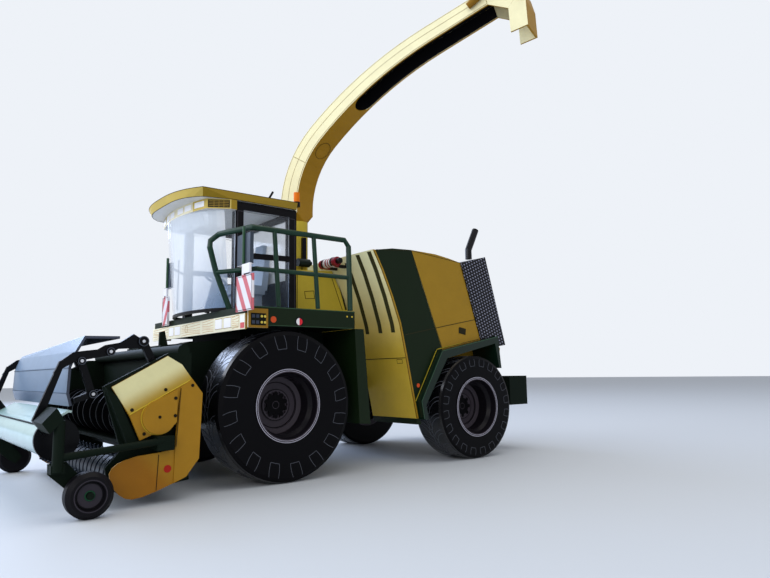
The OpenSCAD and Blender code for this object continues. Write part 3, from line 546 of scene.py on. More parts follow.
class HARVESTER_OT_rims(bpy.types.Operator):
    """Grey printed wheel discs with rings and a black star of round notches, pale lip"""
    bl_idname = "harvester.rims"
    bl_label = "Rims"

    def execute(self, context):
        # Satin grey laser print with black wells; the discs' faces that look to either side are lighter grey,
        # partly as painted light that they catch
        grey = card("printed_grey_card", "#131116", rough=0.45, coat=0.1, amount=0.15, tones=(
            (LEFT, colours().rim, 0.7), (RIGHT, colours().rim, 0.7)))
        pale = ink("rim_lip_ink", "#b4b4c2", 0.35)
        dark = ink("rim_black_ink", "#060508", 0.5)
        for kind, (x, z, face, *_) in WHEELS.items():
            notches = 10 if kind == "front" else 8
            depth = face - 9.7
            for hand, side in SIDES.items():
                dress(grey, f"rim_{kind}_{hand}")
                lip = [disc((x, face + 0.3, z), LEFT, *radii, 64) for radii in ((13.5, 13.3), (12.85, 12.7))]
                star = [disc((x, depth, z), LEFT, 3.9, 1.5, 40)]
                for a in 2 * math.pi * np.arange(notches) / notches:
                    star.append(disc((x + 4.3 * math.sin(a), depth, z + 4.3 * math.cos(a)), LEFT,
                                     0.85, 0, 16, 0.07))
                star += [disc((x, depth, z), LEFT, 5.95, 5.7, 48),
                         disc((x, face - 10.1, z), LEFT, 8.7, 8.4, 48)]
                cap = [disc((x, depth, z), LEFT, 1.2, 0, 24, 0.1)]
                for name, grids, print_ink in (("lip", lip, pale), ("star", star, dark), ("cap", cap, dark)):
                    piece(f"rim_{name}_{kind}_{hand}", [grid * [1, side, 1] for grid in grids], print_ink,
                          f"wheel_{kind}_{hand}")
        return {"FINISHED"}


class HARVESTER_OT_gauge_wheels(bpy.types.Operator):
    """Small black wheels with a grey disc and a green hub"""
    bl_idname = "harvester.gauge_wheels"
    bl_label = "Gauge wheels"

    def execute(self, context):
        # Rubbed black print on thin laminated discs: matt, with uneven cover
        black = card("matt_black_card", "#0e0d11", rough=0.5, coat=0.05, amount=0.2)
        green = ink("hub_green_ink", "#1f4a33")
        grey = ink("hub_grey_ink", "#343138")
        for hand, side in SIDES.items():
            dress(black, f"gauge_wheel_{hand}")
            rings = [disc((GAUGE_X, 61.3, GAUGE_Z), LEFT, 3.3, 1.5, 40),
                     disc((GAUGE_X, 62.5, GAUGE_Z), LEFT, 4.5, 4.2, 40)]
            piece(f"gauge_rings_{hand}", [grid * [1, side, 1] for grid in rings], grey,
                  f"gauge_{hand}")
            hub = disc((GAUGE_X, 61.2, GAUGE_Z), LEFT, 1.45, 1.1, 24, 0.12)
            piece(f"gauge_hub_{hand}", [hub * [1, side, 1]], green, f"gauge_{hand}")
        return {"FINISHED"}


# Walkway and frame

class HARVESTER_OT_frame(bpy.types.Operator):
    """Dark green card of frame, walkway and panels, black axles"""
    bl_idname = "harvester.frame"
    bl_label = "Frame and walkway"

    def execute(self, context):
        # Dark green inkjet print on satin card: nearly black, with a soft sheen
        green = card("dark_green_card", colours().green, rough=0.42, coat=0.12)
        dress(green, "platform", "step_panels")
        # The same green, darker and matt, on the sheets of frame and header
        dress(card("deep_green_card", "#0c170f", rough=0.6), "chassis", "rear_weight", "feeder",
              "header_frame", "gauge_brackets")
        # Wires painted by hand in a bluer, shinier green of uneven cover
        dress(card("painted_green_card", "#173527", rough=0.35, coat=0.3, amount=0.3), "railing")
        # Black laser print on satin card: soft grey where it faces the window
        black = card("black_card", colours().black, rough=0.42, coat=0.1)
        dress(black, "front_axle", "rear_axle")
        orange = ink("orange_ink", "#c9502a")
        white = ink("white_ink", "#e9e8ea")
        red = ink("red_ink", "#d8303a")
        dark = ink("black_ink", "#15141a")
        gold = ink("yellow_ink", "#d0b23c")
        # Lamps, marks and lines lie on the outer face of the beam round the deck
        y = 48.0
        piece("beam_lamps", both([disc((6.3, y, 59.8), LEFT, 1.2)]), orange)
        half = np.linspace(0, np.pi, 17)
        # Each half of the round mark: an arc and its centre
        lens = [np.stack([round_wheel(-4.8, 59.4, radius, hand * half, y + 0.09) for radius in (1.35, 0.0)])
                for hand in SIDES.values()]
        piece("beam_marks_back", both([disc((-4.8, y, 59.4), LEFT, 1.85, 0, 32, 0.03)]), dark)
        piece("beam_marks_white", both([lens[0]]), white)
        piece("beam_marks_red", both([lens[1]]), red)
        dots = [disc((x, y, 62.3), LEFT, 0.35, 0, 16) for x in (-27.2, -29.6)]
        piece("beam_dots", both(dots), gold)
        edges = [line([[-31, y, 64.3], [17, y, 64.3]], LEFT, 0.25),
                 line([[-30, y, 57.6], [9, y, 57.6]], LEFT, 0.2)]
        piece("beam_lines", both(edges), ink("green_fold_ink", "#3b5640"))
        return {"FINISHED"}


class HARVESTER_OT_front_strip(bpy.types.Operator):
    """Pale strip with lamps, a dark window in the lamp box at each end and thin slanted lines"""
    bl_idname = "harvester.front_strip"
    bl_label = "Front strip"

    def execute(self, context):
        # Yellow card in painted light: pale with painted highlight, palest on its front face, and ochre, as
        # painted shade, on its ends
        strip = card("pale_strip_card", colours().pale, rough=0.4, coat=0.2, tones=(
            (LEFT, "#8f6a1c", 0.7), (RIGHT, "#8f6a1c", 0.7), (FRONT, "#f4f0d4", 0.7)))
        dress(strip, "light_strip")
        # The strip's front face, and further down the outer face of the lamp boxes
        x, y = 17.85, 48.85
        white = ink("lamp_white", "#fbfbfd", 0.3)
        frame_ink = ink("lamp_frame_ink", "#b9a064")
        orange = ink("thin_orange_ink", "#c98f3c")
        dark = ink("window_black", "#14160f")
        lamps, frames = [], []
        for a, b in ((36.5, 30.4), (28.6, 22.6), (-13.7, -20.0), (-21.4, -26.7)):
            lamps.append(box_on((a, 57.3), (b, 61.0), FRONT, 0, x))
            corners = on_plane([[a, 57.3], [b, 57.3], [b, 61.0], [a, 61.0]], 0, x)
            frames += strokes(corners, FRONT, 0.22, True)
        piece("strip_lamps", lamps, white)
        # Thin wavy lines between the lamps
        slants, s = [], np.linspace(0, 1, 4)
        for y0, y1 in ((-47, -28), (-12, 8), (10, 21), (37.4, 43)):
            for k in range(6):
                z = 56.6 + k * 0.9
                path = on_plane(np.stack([y0 + (y1 - y0) * s, z + 0.35 * np.sin(3 * s + k)], -1), 0, x)
                slants.append(line(path, FRONT, 0.12))
        piece("strip_slants", slants, orange, thick=0.03)
        frames += strokes(on_plane([[22.4, 57.2], [43.2, 57.2], [43.2, 61.2], [22.4, 61.2]], 0, x),
                          FRONT, 0.14)
        frames += [disc((x, -6.6, 59.2), FRONT, 1.6, 1.4, 24)]
        piece("strip_frames", frames, frame_ink, thick=0.03)
        red = ink("pink_ink", "#d9666a")
        piece("strip_red", [box_on((44.3, 56.4), (47.5, 58.4), FRONT, 0, x)], red)
        piece("strip_white", [box_on((44.3, 58.5), (47.5, 61.2), FRONT, 0, x)], white)
        piece("box_window", both([box_on((9.9, 57.4), (16.0, 61.8), LEFT, 1, y)]), dark)
        dots = [disc((px, y, pz), LEFT, 0.48, 0, 16, 0.1) for px in (11.6, 10.3) for pz in (58.5, 60.7)]
        piece("box_dots", both(dots), ink("lamp_yellow_ink", "#d8c256"))
        cells = [box_on((px - 0.6, pz - 0.6), (px + 0.6, pz + 0.6), LEFT, 1, y + 0.06)
                 for px in (15.0, 13.3) for pz in (58.5, 60.7)]
        piece("box_cells", both(cells), ink("dull_cell_ink", "#3d4452"))
        return {"FINISHED"}


# Cab

class HARVESTER_OT_cab(bpy.types.Operator):
    """Black frame, clear film, roof with a white underside, lamps under the visor, seat and wiper"""
    bl_idname = "harvester.cab"
    bl_label = "Cab"

    def execute(self, context):
        # Black satin print with faint highlights along the pillars
        black = card("cab_black_card", colours().black, rough=0.4, coat=0.12)
        dress(black, "cab_frame", "steering_column")
        dress(film(), "cab_windows")
        # Yellow satin print, bare white below; painted highlight makes it paler on the visor, which leans
        # into the light, and palest on faces that look straight forward
        roof = card("roof_card", "#9f8227", rough=0.42, coat=0.15, tones=(
            (UNDER, "#e9e7e2", 0.9), ((0.95, 0, -0.3), "#cdb45c", 0.45), (FRONT, "#ece3c0", 0.985)))
        dress(roof, "cab_roof")
        # Edges of the roof: straight sides, and a front that bulges by one less a power of the share across
        share = np.linspace(-1, 1, 17)
        low = np.stack([25.2 + 6.8 * (1 - np.abs(share) ** 3.9), 25.2 * share], -1)
        low = on_plane([(-15.4, -28), (14.5, -28), *low, (14.5, 28), (-15.4, 28)], 2, 109.05)
        high = np.stack([26.5 + 7 * (1 - np.abs(share) ** 2.8), 28.2 * share], -1)
        high = on_plane([(-15.4, -29), *high, (-15.4, 29)], 2, 112.0)
        piece("roof_edges", [rod(edge, 0.13, 6) for edge in (low, high)], ink("roof_edge_ink", "#3a2f12"),
              thick=0)
        # Painted paper roll, satin: black foot and wire, bright orange above
        beacon = card("beacon_card", "#141318", rough=0.4, parts=(
            ("#e5761a", ("Z", 113.3)), ("#141318", ("X", -15.6))))
        dress(beacon, "roof_lamps")
        # Blue-grey card, uncoated, soft and without gloss; its pale tone is partly painted reflection of the
        # window on the film in front, and its top faces are lighter with painted highlight
        dress(card("seat_card", "#a3b4c8", rough=0.6, tones=((TOP, "#b4c4d6", 0.6),)), "seat")
        white = ink("cab_lamp_white", "#fbfbfd", 0.3)
        dark = ink("cab_slat_ink", "#262419")
        gold = ink("cab_gold_ink", "#a78a3c")
        # Lamps on the band under the visor, which bulges forwards by 3.4 mm as a parabola over its half width
        lamps, half, bulge = [], 23.3, 3.4
        for a, b in ((0.08, 0.3), (0.36, 0.58), (0.68, 0.94)):
            t = np.linspace(a, b, 4)
            normal = np.stack([np.ones(4), 2 * bulge * t / half, 0 * t], -1)
            normal /= np.linalg.norm(normal, axis=1, keepdims=True)
            foot = np.stack([22.8 + bulge * (1 - t ** 2), half * t, 0 * t], -1) + 0.08 * normal
            lamps.append(np.stack([foot + [0, 0, 106.0], foot + [0, 0, 108.3]]))
        piece("visor_lamps", both(lamps), white)
        # Grille on the slanted corner under the visor
        a, b = np.array([22.8, half, 0]), np.array([14.5, 28.0, 0])
        out = np.array([b[1] - a[1], a[0] - b[0], 0]) / np.linalg.norm(b - a)

        def at(s, z):
            """The point at the share s of the way from a to b, at height z."""
            return a + (b - a) * s + [0, 0, z]

        slats = [area(at(0.06, 105.5), at(0.94, 105.5), at(0.94, 108.6), at(0.06, 108.6), out, 0.04)]
        piece("visor_grilles", both(slats), dark)
        bars = [[at(0.1, z), at(0.9, z)] for z in (106.1, 106.8, 107.5, 108.1)]
        bars += [[at(s, 105.6), at(s, 108.5)] for s in (0.3, 0.5, 0.7)]
        piece("visor_bars", both([line(bar, out, 0.22) + out * 0.06 for bar in bars]), gold)
        wiper = np.linspace((20.1, -12, 68), (23.3, -3, 88), 9)
        piece("wiper", [rod(wiper, 0.3)], black, thick=0)
        bar = [[-13.0, 27.0, 87.6], [9.0, 27.0, 87.0]]
        piece("door_bars", both([line(bar, LEFT, 2.4)]), black)
        rim = on_plane([[-15.2, 63.6], [11.2, 63.6], [11.2, 105.0], [-15.2, 105.0]], 1, 27.0)
        piece("door_lines", both(strokes(rim, LEFT, 0.2, True)), ink("door_line_ink", "#46434a"),
              thick=0.04)
        return {"FINISHED"}


class HARVESTER_OT_fittings(bpy.types.Operator):
    """Mirrors with striped plates, extinguisher with bands and straps"""
    bl_idname = "harvester.fittings"
    bl_label = "Mirrors and extinguisher"

    def execute(self, context):
        dress(striped(), "mirror_left", "mirror_right")
        lines = []
        # Middle and width of each plate, which is narrower and nearer the cab on the right
        for y, width in ((48.9, 12.8), (-30.0, 7.0)):
            outward, edge = math.copysign(width, y), 0.46 * width
            lines += [box_on((y - 0.15 * outward, 75.35), (y + 0.3 * outward, 75.9), FRONT, 0, 18.6)]
            corners = [[y - edge, 62.7], [y + edge, 62.7], [y + edge, 74.9], [y - edge, 74.9]]
            lines += strokes(on_plane(corners, 0, 18.9), FRONT, 0.18, True)
        piece("mirror_lines", lines, ink("mirror_edge_ink", "#2b2b30"), thick=0.04)
        # Glossy printed paper roll: red ends, a white sleeve with two red bands between the straps
        bands = (("#9c2430", 0), ("#e2dede", 15.9), ("#a32a36", 17.6), ("#e2dede", 18.6),
                 ("#a32a36", 19.6), ("#e2dede", 20.4), ("#8e2230", 22.8), ("#141216", 25.15))
        dress(card("extinguisher_card", "#141216", rough=0.35, coat=0.25, parts=[
            (code, ("X", -40.65), ("Y", start)) for code, start in bands]), "extinguisher")
        # Straps: arcs of 210 degrees round the roll, with their normals running outwards
        angle = np.radians(np.linspace(-60, 150, 14))
        outward = np.stack([np.cos(angle), 0 * angle, np.sin(angle)], -1)
        straps = [line(2.14 * outward + [-38.5, y, 89.6], outward, 1.2) for y in (15.1, 22.2)]
        piece("extinguisher_straps", straps, ink("strap_ink", "#141216", 0.4), thick=0.08)
        return {"FINISHED"}


# Spout and chute

TOWER_X, TOWER_TOP = -32.3, 115.0
SPOUT_TURN = math.radians(110)
ROOT_DEPTH, TIP_DEPTH = 10, 6.7


def spout_line():
    """Middle line of the spout: a short upright foot, an arc of 50.3 degrees, a flatter one of 23.7 degrees
    and a straight tip. Gives the way outwards, the height, the slope and the depth, which shrinks evenly."""
    foot, near, far, tip = 1.9, 43.5, 162.6, 28
    first = np.radians(np.linspace(0, 50.3, 9))
    second = np.radians(np.linspace(50.3, 74.0, 11))[1:]
    out = np.concatenate([[0], near * (1 - np.cos(first))])
    up = TOWER_TOP + np.concatenate([[0], foot + near * np.sin(first)])
    out = np.concatenate([out, out[-1] + far * (np.cos(first[-1]) - np.cos(second))])
    up = np.concatenate([up, up[-1] + far * (np.sin(second) - np.sin(first[-1]))])
    way = np.concatenate([[0], foot + near * first, foot + near * first[-1] + far * (second - first[-1])])
    slope = np.pi / 2 - np.concatenate([[0], first, second])
    out = np.append(out, out[-1] + tip * np.cos(slope[-1]))
    up = np.append(up, up[-1] + tip * np.sin(slope[-1]))
    slope, way = np.append(slope, slope[-1]), np.append(way, way[-1] + tip)
    return out, up, slope, ROOT_DEPTH + (TIP_DEPTH - ROOT_DEPTH) * way / way[-1]


def on_spout(across, beside, part=slice(None)):
    """Points along the spout: across is the share of the depth from its middle line, 0.5 on the outer curve,
    beside the way in millimetres towards the camera's side."""
    out, up, slope, depth = (row[part] for row in spout_line())
    return turned_out(out - across * depth * np.sin(slope), up + across * depth * np.cos(slope), beside)


def turned_out(out, up, beside):
    """Point of the spout's own plane, which is turned 110 degrees from the driving direction."""
    out, up, beside = np.broadcast_arrays(out, up, beside)
    cos, sin = math.cos(SPOUT_TURN), math.sin(SPOUT_TURN)
    return np.stack([TOWER_X + out * cos + beside * sin, out * sin - beside * cos, up], -1)


class HARVESTER_OT_spout(bpy.types.Operator):
    """Pale side walls, mustard back and underside, black lining, thin seams and a printed circle"""
    bl_idname = "harvester.spout"
    bl_label = "Spout"

    def execute(self, context):
        side = np.array([math.sin(SPOUT_TURN), -math.cos(SPOUT_TURN), 0])
        # Satin print, ochre on back and underside; the pale sides are painted highlight, the yellow as the
        # window light washes it out
        walls = card("spout_card", "#a97e1a", rough=0.42, coat=0.05, tones=(
            (side, colours().pale, 0.8), (-side, colours().pale, 0.8)))
        dress(walls, "spout", "spout_flap")
        # Brown print without gloss on lever and cylinder; black inside, which swallows the light
        dress(card("brown_card", "#8a6420", rough=0.45), "flap_cylinder")
        black = card("lining_black_card", "#131215", rough=0.45)
        # Lining of the open outer half: its roof, its two walls and a round end where the spout is closed
        roof, low = (on_spout(k, 0, slice(13, None)) for k in (0.5, -0.5))
        up = roof - low
        up /= np.linalg.norm(up, axis=1, keepdims=True)
        lining = [np.stack([roof - 0.88 * up + side * w for w in (-5.1, 5.1)])]
        for w in (-5.13, 5.13):
            lining.append(np.stack([roof - 0.95 * up + side * w, low + 0.15 * up + side * w]))
        angle = np.linspace(-np.pi / 2, np.pi / 2, 17)[:, None]
        along = np.cross(side, up[0])
        along *= np.sign(along @ (on_spout(0, 0, 12) - on_spout(0, 0, 13)))
        arc = 5.13 * (np.cos(angle) * along + np.sin(angle) * side)
        lining.append(np.stack([roof[0] - 0.95 * up[0] + arc, low[0] + 0.2 * up[0] + arc]))
        lining.append(np.stack([roof[0] - 0.9 * up[0] + arc, roof[0] - 0.9 * up[0] + 0 * arc]))
        piece("spout_lining", lining, black, "spout_body", thick=0.06)
        seams = []
        for w in (6.0, -6.0):
            for k in (0.46, 0.06, -0.44):
                seams.append(line(on_spout(k, w, slice(1, None)), side * np.sign(w), 0.22 if k < 0 else 0.14))
            for i in (1, 6, 20):
                seams.append(line([on_spout(k, w, i) for k in (-0.42, 0.42)], side * np.sign(w), 0.2))
        piece("spout_seams", seams, ink("seam_ink", "#8d7738"), "spout_body", thick=0.03)
        down = on_spout(-0.5, 0, 8)
        normal = down - on_spout(0.5, 0, 8)
        circle = [disc(down, normal / np.linalg.norm(normal), 4.3, 4.1, 40, 0.32)]
        piece("spout_circle", circle, ink("circle_ink", "#4d3911"), "spout_body", thick=0.03)
        # Matt olive yellow, lighter on the left side, which the window lights
        dress(card("chute_card", "#93801f", rough=0.45, tones=((LEFT, "#cdb53f", 0.7),)), "chute")
        # Printed lines on the chute's side faces
        y = 11.0
        marks = [line([[x0, y, z0], [x1, y, z1]], LEFT, width) for x0, z0, x1, z1, width in (
            (-44.9, 84.1, -50.8, 69.4, 0.3), (-47.0, 88.5, -52.9, 69.5, 1.0),
            (-26.1, 86.0, -26.0, 69.0, 0.3))]
        hatch = on_plane([[-29.9, 76.8], [-30.4, 73.6], [-35.3, 73.9], [-34.8, 77.4]], 1, y)
        marks += strokes(hatch, LEFT, 0.25, True)
        piece("chute_lines", both(marks), ink("chute_ink", "#2f2b12"), thick=0.04)
        low, high = 89, 103
        rib = [area((-33.8, 6.25, low), (-31.8, 6.25, low), (-31.8, 6.25, high), (-33.8, 6.25, high),
                    LEFT, 0.0),
               area((-31.75, 6.2, low), (-31.75, 5.1, low), (-31.75, 5.1, high), (-31.75, 6.2, high),
                    FRONT, 0.05)]
        piece("tower_rib", rib, black)
        motor = [rod([[x0, 7.9, 90.6], [x1, 7.9, 90.6]], radius, steps)
                 for x0, x1, radius, steps in ((-28.2, -34.2, 1.9, 20), (-34.2, -35.4, 1.0, 10))]
        # Rolled card under shiny dark green print
        piece("slew_motor", motor, card("motor_card", "#0f1d17", rough=0.35, coat=0.2), thick=0)
        return {"FINISHED"}


# Body

def on_front_wall(y, z):
    """Point of the front wall at height z: the wall's line from top to foot, read off by height."""
    heights = np.array([19.5, 31, 46.4, 61, 73, 84, 92.3])
    places = -43 - 23 * np.array([1, 0.891, 0.752, 0.609, 0.413, 0.196, 0])
    y, z = np.broadcast_arrays(y, z)
    return np.stack([np.interp(z, heights, places), y, z], -1)


class HARVESTER_OT_body(bpy.types.Operator):
    """Yellow body with dark stripes on its front wall, green band, drawn panel lines, vent and handle"""
    bl_idname = "harvester.body"
    bl_label = "Body"

    def execute(self, context):
        # Yellow inkjet print, satin, full on the sides; the front wall is painted lighter than the sides, as
        # window light falls on it, and a painted highlight turns it pale towards its top
        yellow = card("yellow_card", "#9d7a20", rough=0.42, coat=0.15, tones=(
            ((0.99, 0, -0.1), ("#d6b640", "#fffac4", (0, 0, 45), (0, 0, 47)), 0.6),))
        dress(yellow, "body_front", "body_rear")
        # The frame's dark green print, on a band glued over the yellow
        dress(card("band_green_card", colours().green, rough=0.42, coat=0.1), "body_band")
        stripes = []
        for top, low in (((23.5, 89.5), (21.4, 57.5)), ((33.5, 91.6), (31.1, 57.4)),
                         ((42.0, 91.8), (40.1, 57.2))):
            middle = on_front_wall(*np.linspace(top, low, 24).T)
            run = np.gradient(middle, axis=0)
            normal = np.cross(run, LEFT)
            normal /= np.linalg.norm(normal, axis=1, keepdims=True)
            normal *= np.sign(normal[:, :1])
            stripes.append(line(middle, normal, 2.6))
        piece("wall_stripes", both(stripes), ink("stripe_ink", "#3c3b22"))
        fold = (0.97, 0, 0.22)
        lines = [line(on_front_wall(np.linspace(-45, 45, 6), 45.9), fold, 0.3)]
        # Side faces of the body
        y = 45.0
        lines += both([line([[-60.4, y, 55.9], [-82.4, y, 60.2], [-106.6, y, 64.7]], LEFT, 0.3)])
        lines += both([line([[-94.0, y, 57.0], [-94.0, y, 60.2]], LEFT, 0.2)])
        edges = [line(on_front_wall(y, np.linspace(91.8, 19.7, 40)) - [0.35, 0, 0], LEFT, 0.2)]
        for corners in (((-65.2, 94.1), (-82.9, 50.2)), ((-65.4, 94.1), (-96.2, 91.5)),
                        ((-96.1, 91.2), (-108.4, 55.2)), ((-83.4, 50.4), (-108.0, 55.2)),
                        ((-45, 92.4), (-64.6, 94.0))):
            edges.append(line(on_plane(corners, 1, y), LEFT, 0.2))
        lines += both(edges)
        piece("panel_lines", lines, ink("panel_line_ink", "#2e2c18"))
        vent = [area((-93.9, y, 57.6), (-98.4, y, 56.8), (-98.8, y, 59.8), (-94.3, y, 60.5), LEFT)]
        piece("side_vents", both(vent), ink("vent_ink", "#2a2717"))
        handle = strokes(on_front_wall([39.0, 42.6, 42.6, 39.0], [43.6, 43.6, 45.3, 45.3]), fold, 0.2, True)
        piece("wall_handles", both(handle), ink("handle_ink", "#3a361c"))
        piece("side_reflectors", both([disc((-67.6, y, 33.8), LEFT, 0.9, 0, 20)]),
              ink("reflector_ink", "#d8542a"))
        return {"FINISHED"}


class HARVESTER_OT_rear(bpy.types.Operator):
    """Dotted corner shells, black exhaust, dark green strips round the wheels with a bright edge"""
    bl_idname = "harvester.rear"
    bl_label = "Rear"

    def execute(self, context):
        dress(perforated(), "corner_grilles")
        # Black and green glossy print, which mirrors the window along the bent pipe and the strips' tops
        dress(card("shiny_black_card", "#0c0b0f", rough=0.3, coat=0.35), "exhaust")
        dress(card("fender_green_card", "#0d2218", rough=0.33, coat=0.5), "rear_fenders")
        seam = on_plane([[-66.0, 27.2], [-79.4, 49.8], [-95.0, 52.8]], 1, 45.0)
        piece("fender_seams", both(strokes(seam, LEFT, 0.45)), ink("fender_seam_ink", "#a8962c"),
              thick=0.04)
        edge = on_plane([[-68.15, 19.5], [-66.85, 26.9], [-80.15, 49.0], [-117.95, 56.3]], 1, 48.0)
        piece("fender_lines", both(strokes(edge, LEFT, 0.25)), ink("fender_line_ink", "#3c5a44"),
              thick=0.04)
        return {"FINISHED"}


# Header

class HARVESTER_OT_header(bpy.types.Operator):
    """Black auger and reel, black dots and lines on the covers, red reflector"""
    bl_idname = "harvester.header"
    bl_label = "Header"

    def execute(self, context):
        # Black print: dull on the auger's flights, glossier and bluish round the reel
        dress(card("auger_card", "#08090c", rough=0.5, coat=0.03), "auger")
        dress(card("reel_card", "#1a222e", rough=0.4, coat=0.2), "pickup_reel")
        # Covers in satin yellow: washed out by the window on the upper fold, browner towards the front below
        slant = np.array([0.156, 0.945, 0.289])
        wash = ("#a4872f", "#d5d09e", (59.1, 0, 28.0), (2.9, 0, 5.3))
        # Darker, browner yellow on the side faces towards the front and down
        front_low_brown = (colours().yellow, "#94610f", (54, 0, 20), (5, 0, -5))
        cover = card("cover_card", colours().yellow, rough=0.42, coat=0.18, tones=(
            (slant, wash, 0.985), (slant * [1, -1, 1], wash, 0.985),
            (LEFT, front_low_brown, 0.98), (RIGHT, front_low_brown, 0.98)))
        dress(cover, "cover_left", "cover_right")
        dark = ink("bolt_ink", "#1c1810")
        bolts = [disc((px, py, pz), LEFT, 0.55, 0, 16, 0.1) for px, py, pz in (
            (54.4, 54.0, 21.9), (45.1, 55.0, 32.5), (45.1, 55.0, 27.0), (39.3, 54.2, 36.4))]
        bolts += [disc((px, py, pz), slant, 0.55, 0, 16, 0.14) for px, py, pz in (
            (47.9, 53.58, 35.2), (58.2, 53.7, 29.3))]
        bolts += [disc((50.0, 55.0, 26.8), LEFT, 0.5, 0, 16, 0.06)]
        piece("cover_bolts", both(bolts), dark)
        lines = [line([[49.6, 53.8, 15.2], [50.1, 53.8, 4.4]], LEFT, 0.22)]
        lines += [line([[44.3, 54.2, 17.2], [43.1, 54.2, 35.6]], LEFT, 0.2)]
        # Painted highlights: a bright ring round the raised disc's edge and a bright line along the upper
        # fold
        folds = [disc((50.0, 54.0, 26.8), LEFT, 5.6, 5.3, 48, 0.1)]
        folds += [line([[58.9, 54.0, 28.0], [40.0, 54.0, 38.2]], slant, 0.3) + [0, 0.08, 0]]
        piece("cover_fold_highlights", both(folds), ink("fold_highlight_ink", "#c0a532"), thick=0.04)
        piece("cover_lines", both(lines), dark, thick=0.04)
        piece("cover_reflectors", both([disc((46.7, 53.8, 10.6), LEFT, 1.2, 0, 24, 0.1)]),
              ink("cover_red_ink", "#a3281c"))
        return {"FINISHED"}


class HARVESTER_OT_hood(bpy.types.Operator):
    """Blue-grey folded hood, shiny pale roller sheet in two bands, black arms"""
    bl_idname = "harvester.hood"
    bl_label = "Hood and roller"

    def execute(self, context):
        # Blue-grey print under a coat of lacquer, which mirrors the window; the lighter, bluer faces that
        # look forward and the pale top are painted reflection of the window, and the faces that lean down are
        # darker blue
        steel = card("sheet_grey_card", colours().steel, rough=0.32, coat=0.4, tones=(
            ((1, 0, 0.2), ("#4b6885", "#7d93ab", (0, 0, 31), (0, 0, 18)), 0.6), (TOP, "#cfdcea", 0.9),
            ((0.963, 0, -0.27), "#2f4a66", 0.98)))
        dress(steel, "crop_hood")
        # Glossy pale green sheet with bright streaks along the roller; painted shade makes it darker towards
        # its foot, and it is a little darker on faces that look up and forward
        dress(card("roller_card", colours().mint, rough=0.22, coat=0.5, tones=(
            (FRONT, ("#86a6a6", colours().mint, (0, 0, 16), (0, 0, 9)), -0.5),
            ((0.5, 0, 0.86), "#9fc0bd", 0.95))), "crop_roller")
        # Black satin print on stiff laminated strips
        dress(card("arm_black_card", "#08090c", rough=0.4, coat=0.1), "hood_arms")
        # Pivots of the arms: a pale bolt head with a ring printed round it
        pivots = ((71.8, 44.5, 1.15), (68.2, 34.4, 1.15), (63.5, 47.4, 1.25), (53.5, 50.8, 1.6))
        heads = [disc((x, 48.4, z), LEFT, 0.5, 0, 16) for x, z, _ in pivots]
        piece("arm_bolts", both(heads), ink("bolt_white_ink", "#c9ccd2"))
        rims = [disc((x, 48.4, z), LEFT, radius, radius - 0.16, 24) for x, z, radius in pivots]
        piece("arm_rings", both(rims), ink("arm_ring_ink", "#4f545e"), thick=0.04)

        def across(x, z):
            """Straight path from side to side at one x and z."""
            return np.linspace((x, -46, z), (x, 46, z), 3)

        seam = rod(across(81.8, 25.75), 0.28, 8)
        piece("roller_seam", [seam], ink("roller_seam_ink", "#15191b"), thick=0)
        folds = [line(across(75.08, 42.4), (0.98, 0, 0.2), 0.25), line(across(75.3, 34.8), FRONT, 0.25)]
        piece("hood_folds", folds, ink("hood_fold_ink", "#3f4f60"), thick=0.04)
        return {"FINISHED"}


# Stage

LAMP_AIM = (0.0, 0.0, 0.08)
LAMPS = (("window_lamp", (0.75, -0.3, 0.5), (0.7, 0.6), 4.6, "#eaf1ff"),
         ("top_lamp", (-0.05, 0.1, 0.8), (0.7, 0.7), 2.2, "#fff9f0"),
         ("side_lamp", (0.6, 0.5, 0.35), (0.5, 0.4), 1.4, "#fffaf4"),
         ("sheen_lamp", (0.22, -0.8, 0.5), (0.8, 0.5), 6.0, "#c6daff"))
# The camera fitted to the photograph: its own right, up and back, and its place in millimetres
CAMERA_AXES = ((-0.779350, 0.626396, -0.015514), (0.070140, 0.111817, 0.991250),
               (0.622650, 0.771443, -0.131080))
CAMERA_PLACE = (122.146, 257.738, 39.353)


def turned(made, right, up, back, where):
    """Turns an object so that its own X, Y and Z run right, up and back, and puts it at a place in metres."""
    matrix = np.eye(4)
    matrix[:3] = np.stack([right, up, back, where], 1)
    made.matrix_world = Matrix(matrix.tolist())


def lamp(name, where, size, power, tint):
    """Large soft rectangle lamp at a place, turned to the middle of the model, both in metres."""
    light = bpy.data.lights.new(name, "AREA")
    light.shape = "RECTANGLE"
    light.size, light.size_y = size
    light.energy = power
    light.color = linear(tint)[:3]
    made = new_object(name, light)
    back = np.array(where) - LAMP_AIM
    back /= np.linalg.norm(back)
    right = np.cross(TOP, back)
    right /= np.linalg.norm(right)
    turned(made, right, np.cross(back, right), back, where)
    made.visible_camera = False


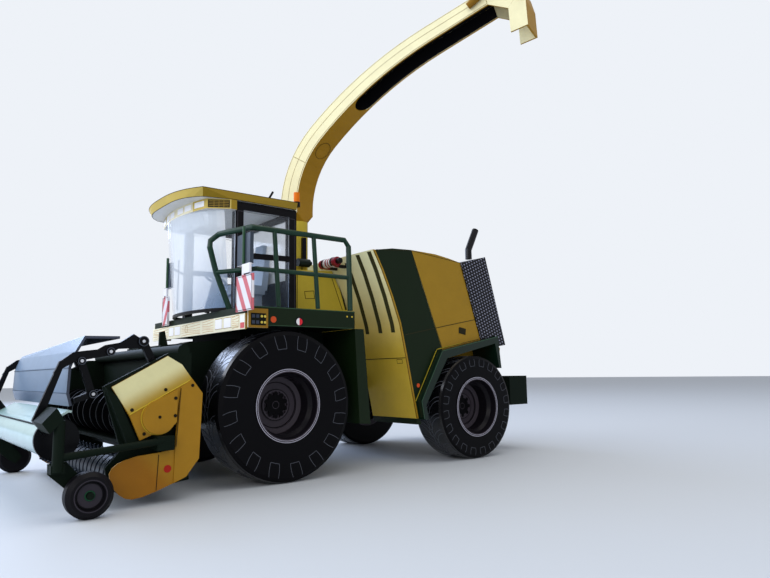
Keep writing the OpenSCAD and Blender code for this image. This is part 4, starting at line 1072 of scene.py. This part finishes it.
class HARVESTER_OT_stage(bpy.types.Operator):
    """Pale floor, white background, soft lamps and the camera"""
    bl_idname = "harvester.stage"
    bl_label = "Stage"

    def execute(self, context):
        scene = context.scene
        settings = scene.harvester_stage
        mesh = bpy.data.meshes.new("floor")
        reach = 3.0
        mesh.from_pydata([(-reach, -reach, 0), (reach, -reach, 0), (reach, reach, 0), (-reach, reach, 0)], [],
                         [(0, 1, 2, 3)])
        # White paper on a table: matt and a little grey in the shade
        paper, shader = blank("pale_floor")
        feed(paper, shader, {"Base Color": linear("#c3c9cf"), "Roughness": 0.7})
        mesh.materials.append(paper)
        new_object("floor", mesh)
        # The background looks near white to the camera and gives a weaker, even light
        world = bpy.data.worlds.new("soft_studio")
        world.use_nodes = True
        world.node_tree.nodes.clear()
        rays = add(world, "ShaderNodeLightPath").outputs
        seen = add(world, "ShaderNodeMath", {0: rays["Is Camera Ray"], 1: rays["Is Transmission Ray"]},
                   operation="MAXIMUM")
        glow = add(world, "ShaderNodeBackground", {"Color": linear("#f4f7ff"), "Strength": settings.world})
        white = add(world, "ShaderNodeBackground", {"Color": linear("#eef2f8"), "Strength": 1.0})
        light = add(world, "ShaderNodeMixShader", {0: seen, 1: glow, 2: white})
        add(world, "ShaderNodeOutputWorld", {"Surface": light})
        scene.world = world
        for name, where, size, power, tint in LAMPS:
            lamp(name, where, size, settings.lamp * power, tint)
        data = bpy.data.cameras.new("camera")
        data.sensor_width = 36
        data.lens = settings.view * 1000
        data.clip_start = 0.01
        scene.camera = new_object("camera", data)
        turned(scene.camera, *CAMERA_AXES, place(CAMERA_PLACE))
        scene.view_settings.view_transform = "Standard"
        return {"FINISHED"}


STEPS = (HARVESTER_OT_tyres, HARVESTER_OT_rims, HARVESTER_OT_gauge_wheels, HARVESTER_OT_frame,
         HARVESTER_OT_front_strip, HARVESTER_OT_cab, HARVESTER_OT_fittings, HARVESTER_OT_spout,
         HARVESTER_OT_body, HARVESTER_OT_rear, HARVESTER_OT_header, HARVESTER_OT_hood, HARVESTER_OT_stage)


class HARVESTER_PT_panel(bpy.types.Panel):
    """Lists the steps that dress the model"""
    bl_idname = "HARVESTER_PT_panel"
    bl_label = "Card forage harvester"
    bl_space_type = "VIEW_3D"
    bl_region_type = "UI"
    bl_category = "Harvester"

    def draw(self, context):
        for group in (getattr(context.scene, key) for key in SETTINGS):
            for key in group.__annotations__:
                self.layout.prop(group, key)
        for step in STEPS:
            self.layout.operator(step.bl_idname)


SETTINGS = {"harvester_colours": PrintColours, "harvester_sizes": PrintSizes,
            "harvester_stage": StageSettings}
CLASSES = tuple(SETTINGS.values()) + STEPS + (HARVESTER_PT_panel,)


def register():
    """Registers the classes and hangs the settings on the scene."""
    for item in CLASSES:
        bpy.utils.register_class(item)
    for key, group in SETTINGS.items():
        setattr(bpy.types.Scene, key, PointerProperty(type=group))


def unregister():
    """Takes the settings off the scene and unregisters the classes."""
    for key in SETTINGS:
        delattr(bpy.types.Scene, key)
    for item in reversed(CLASSES):
        bpy.utils.unregister_class(item)


def main():
    register()
    for step in STEPS:
        family, action = step.bl_idname.split(".")
        getattr(getattr(bpy.ops, family), action)()


if __name__ == "__main__":
    main()
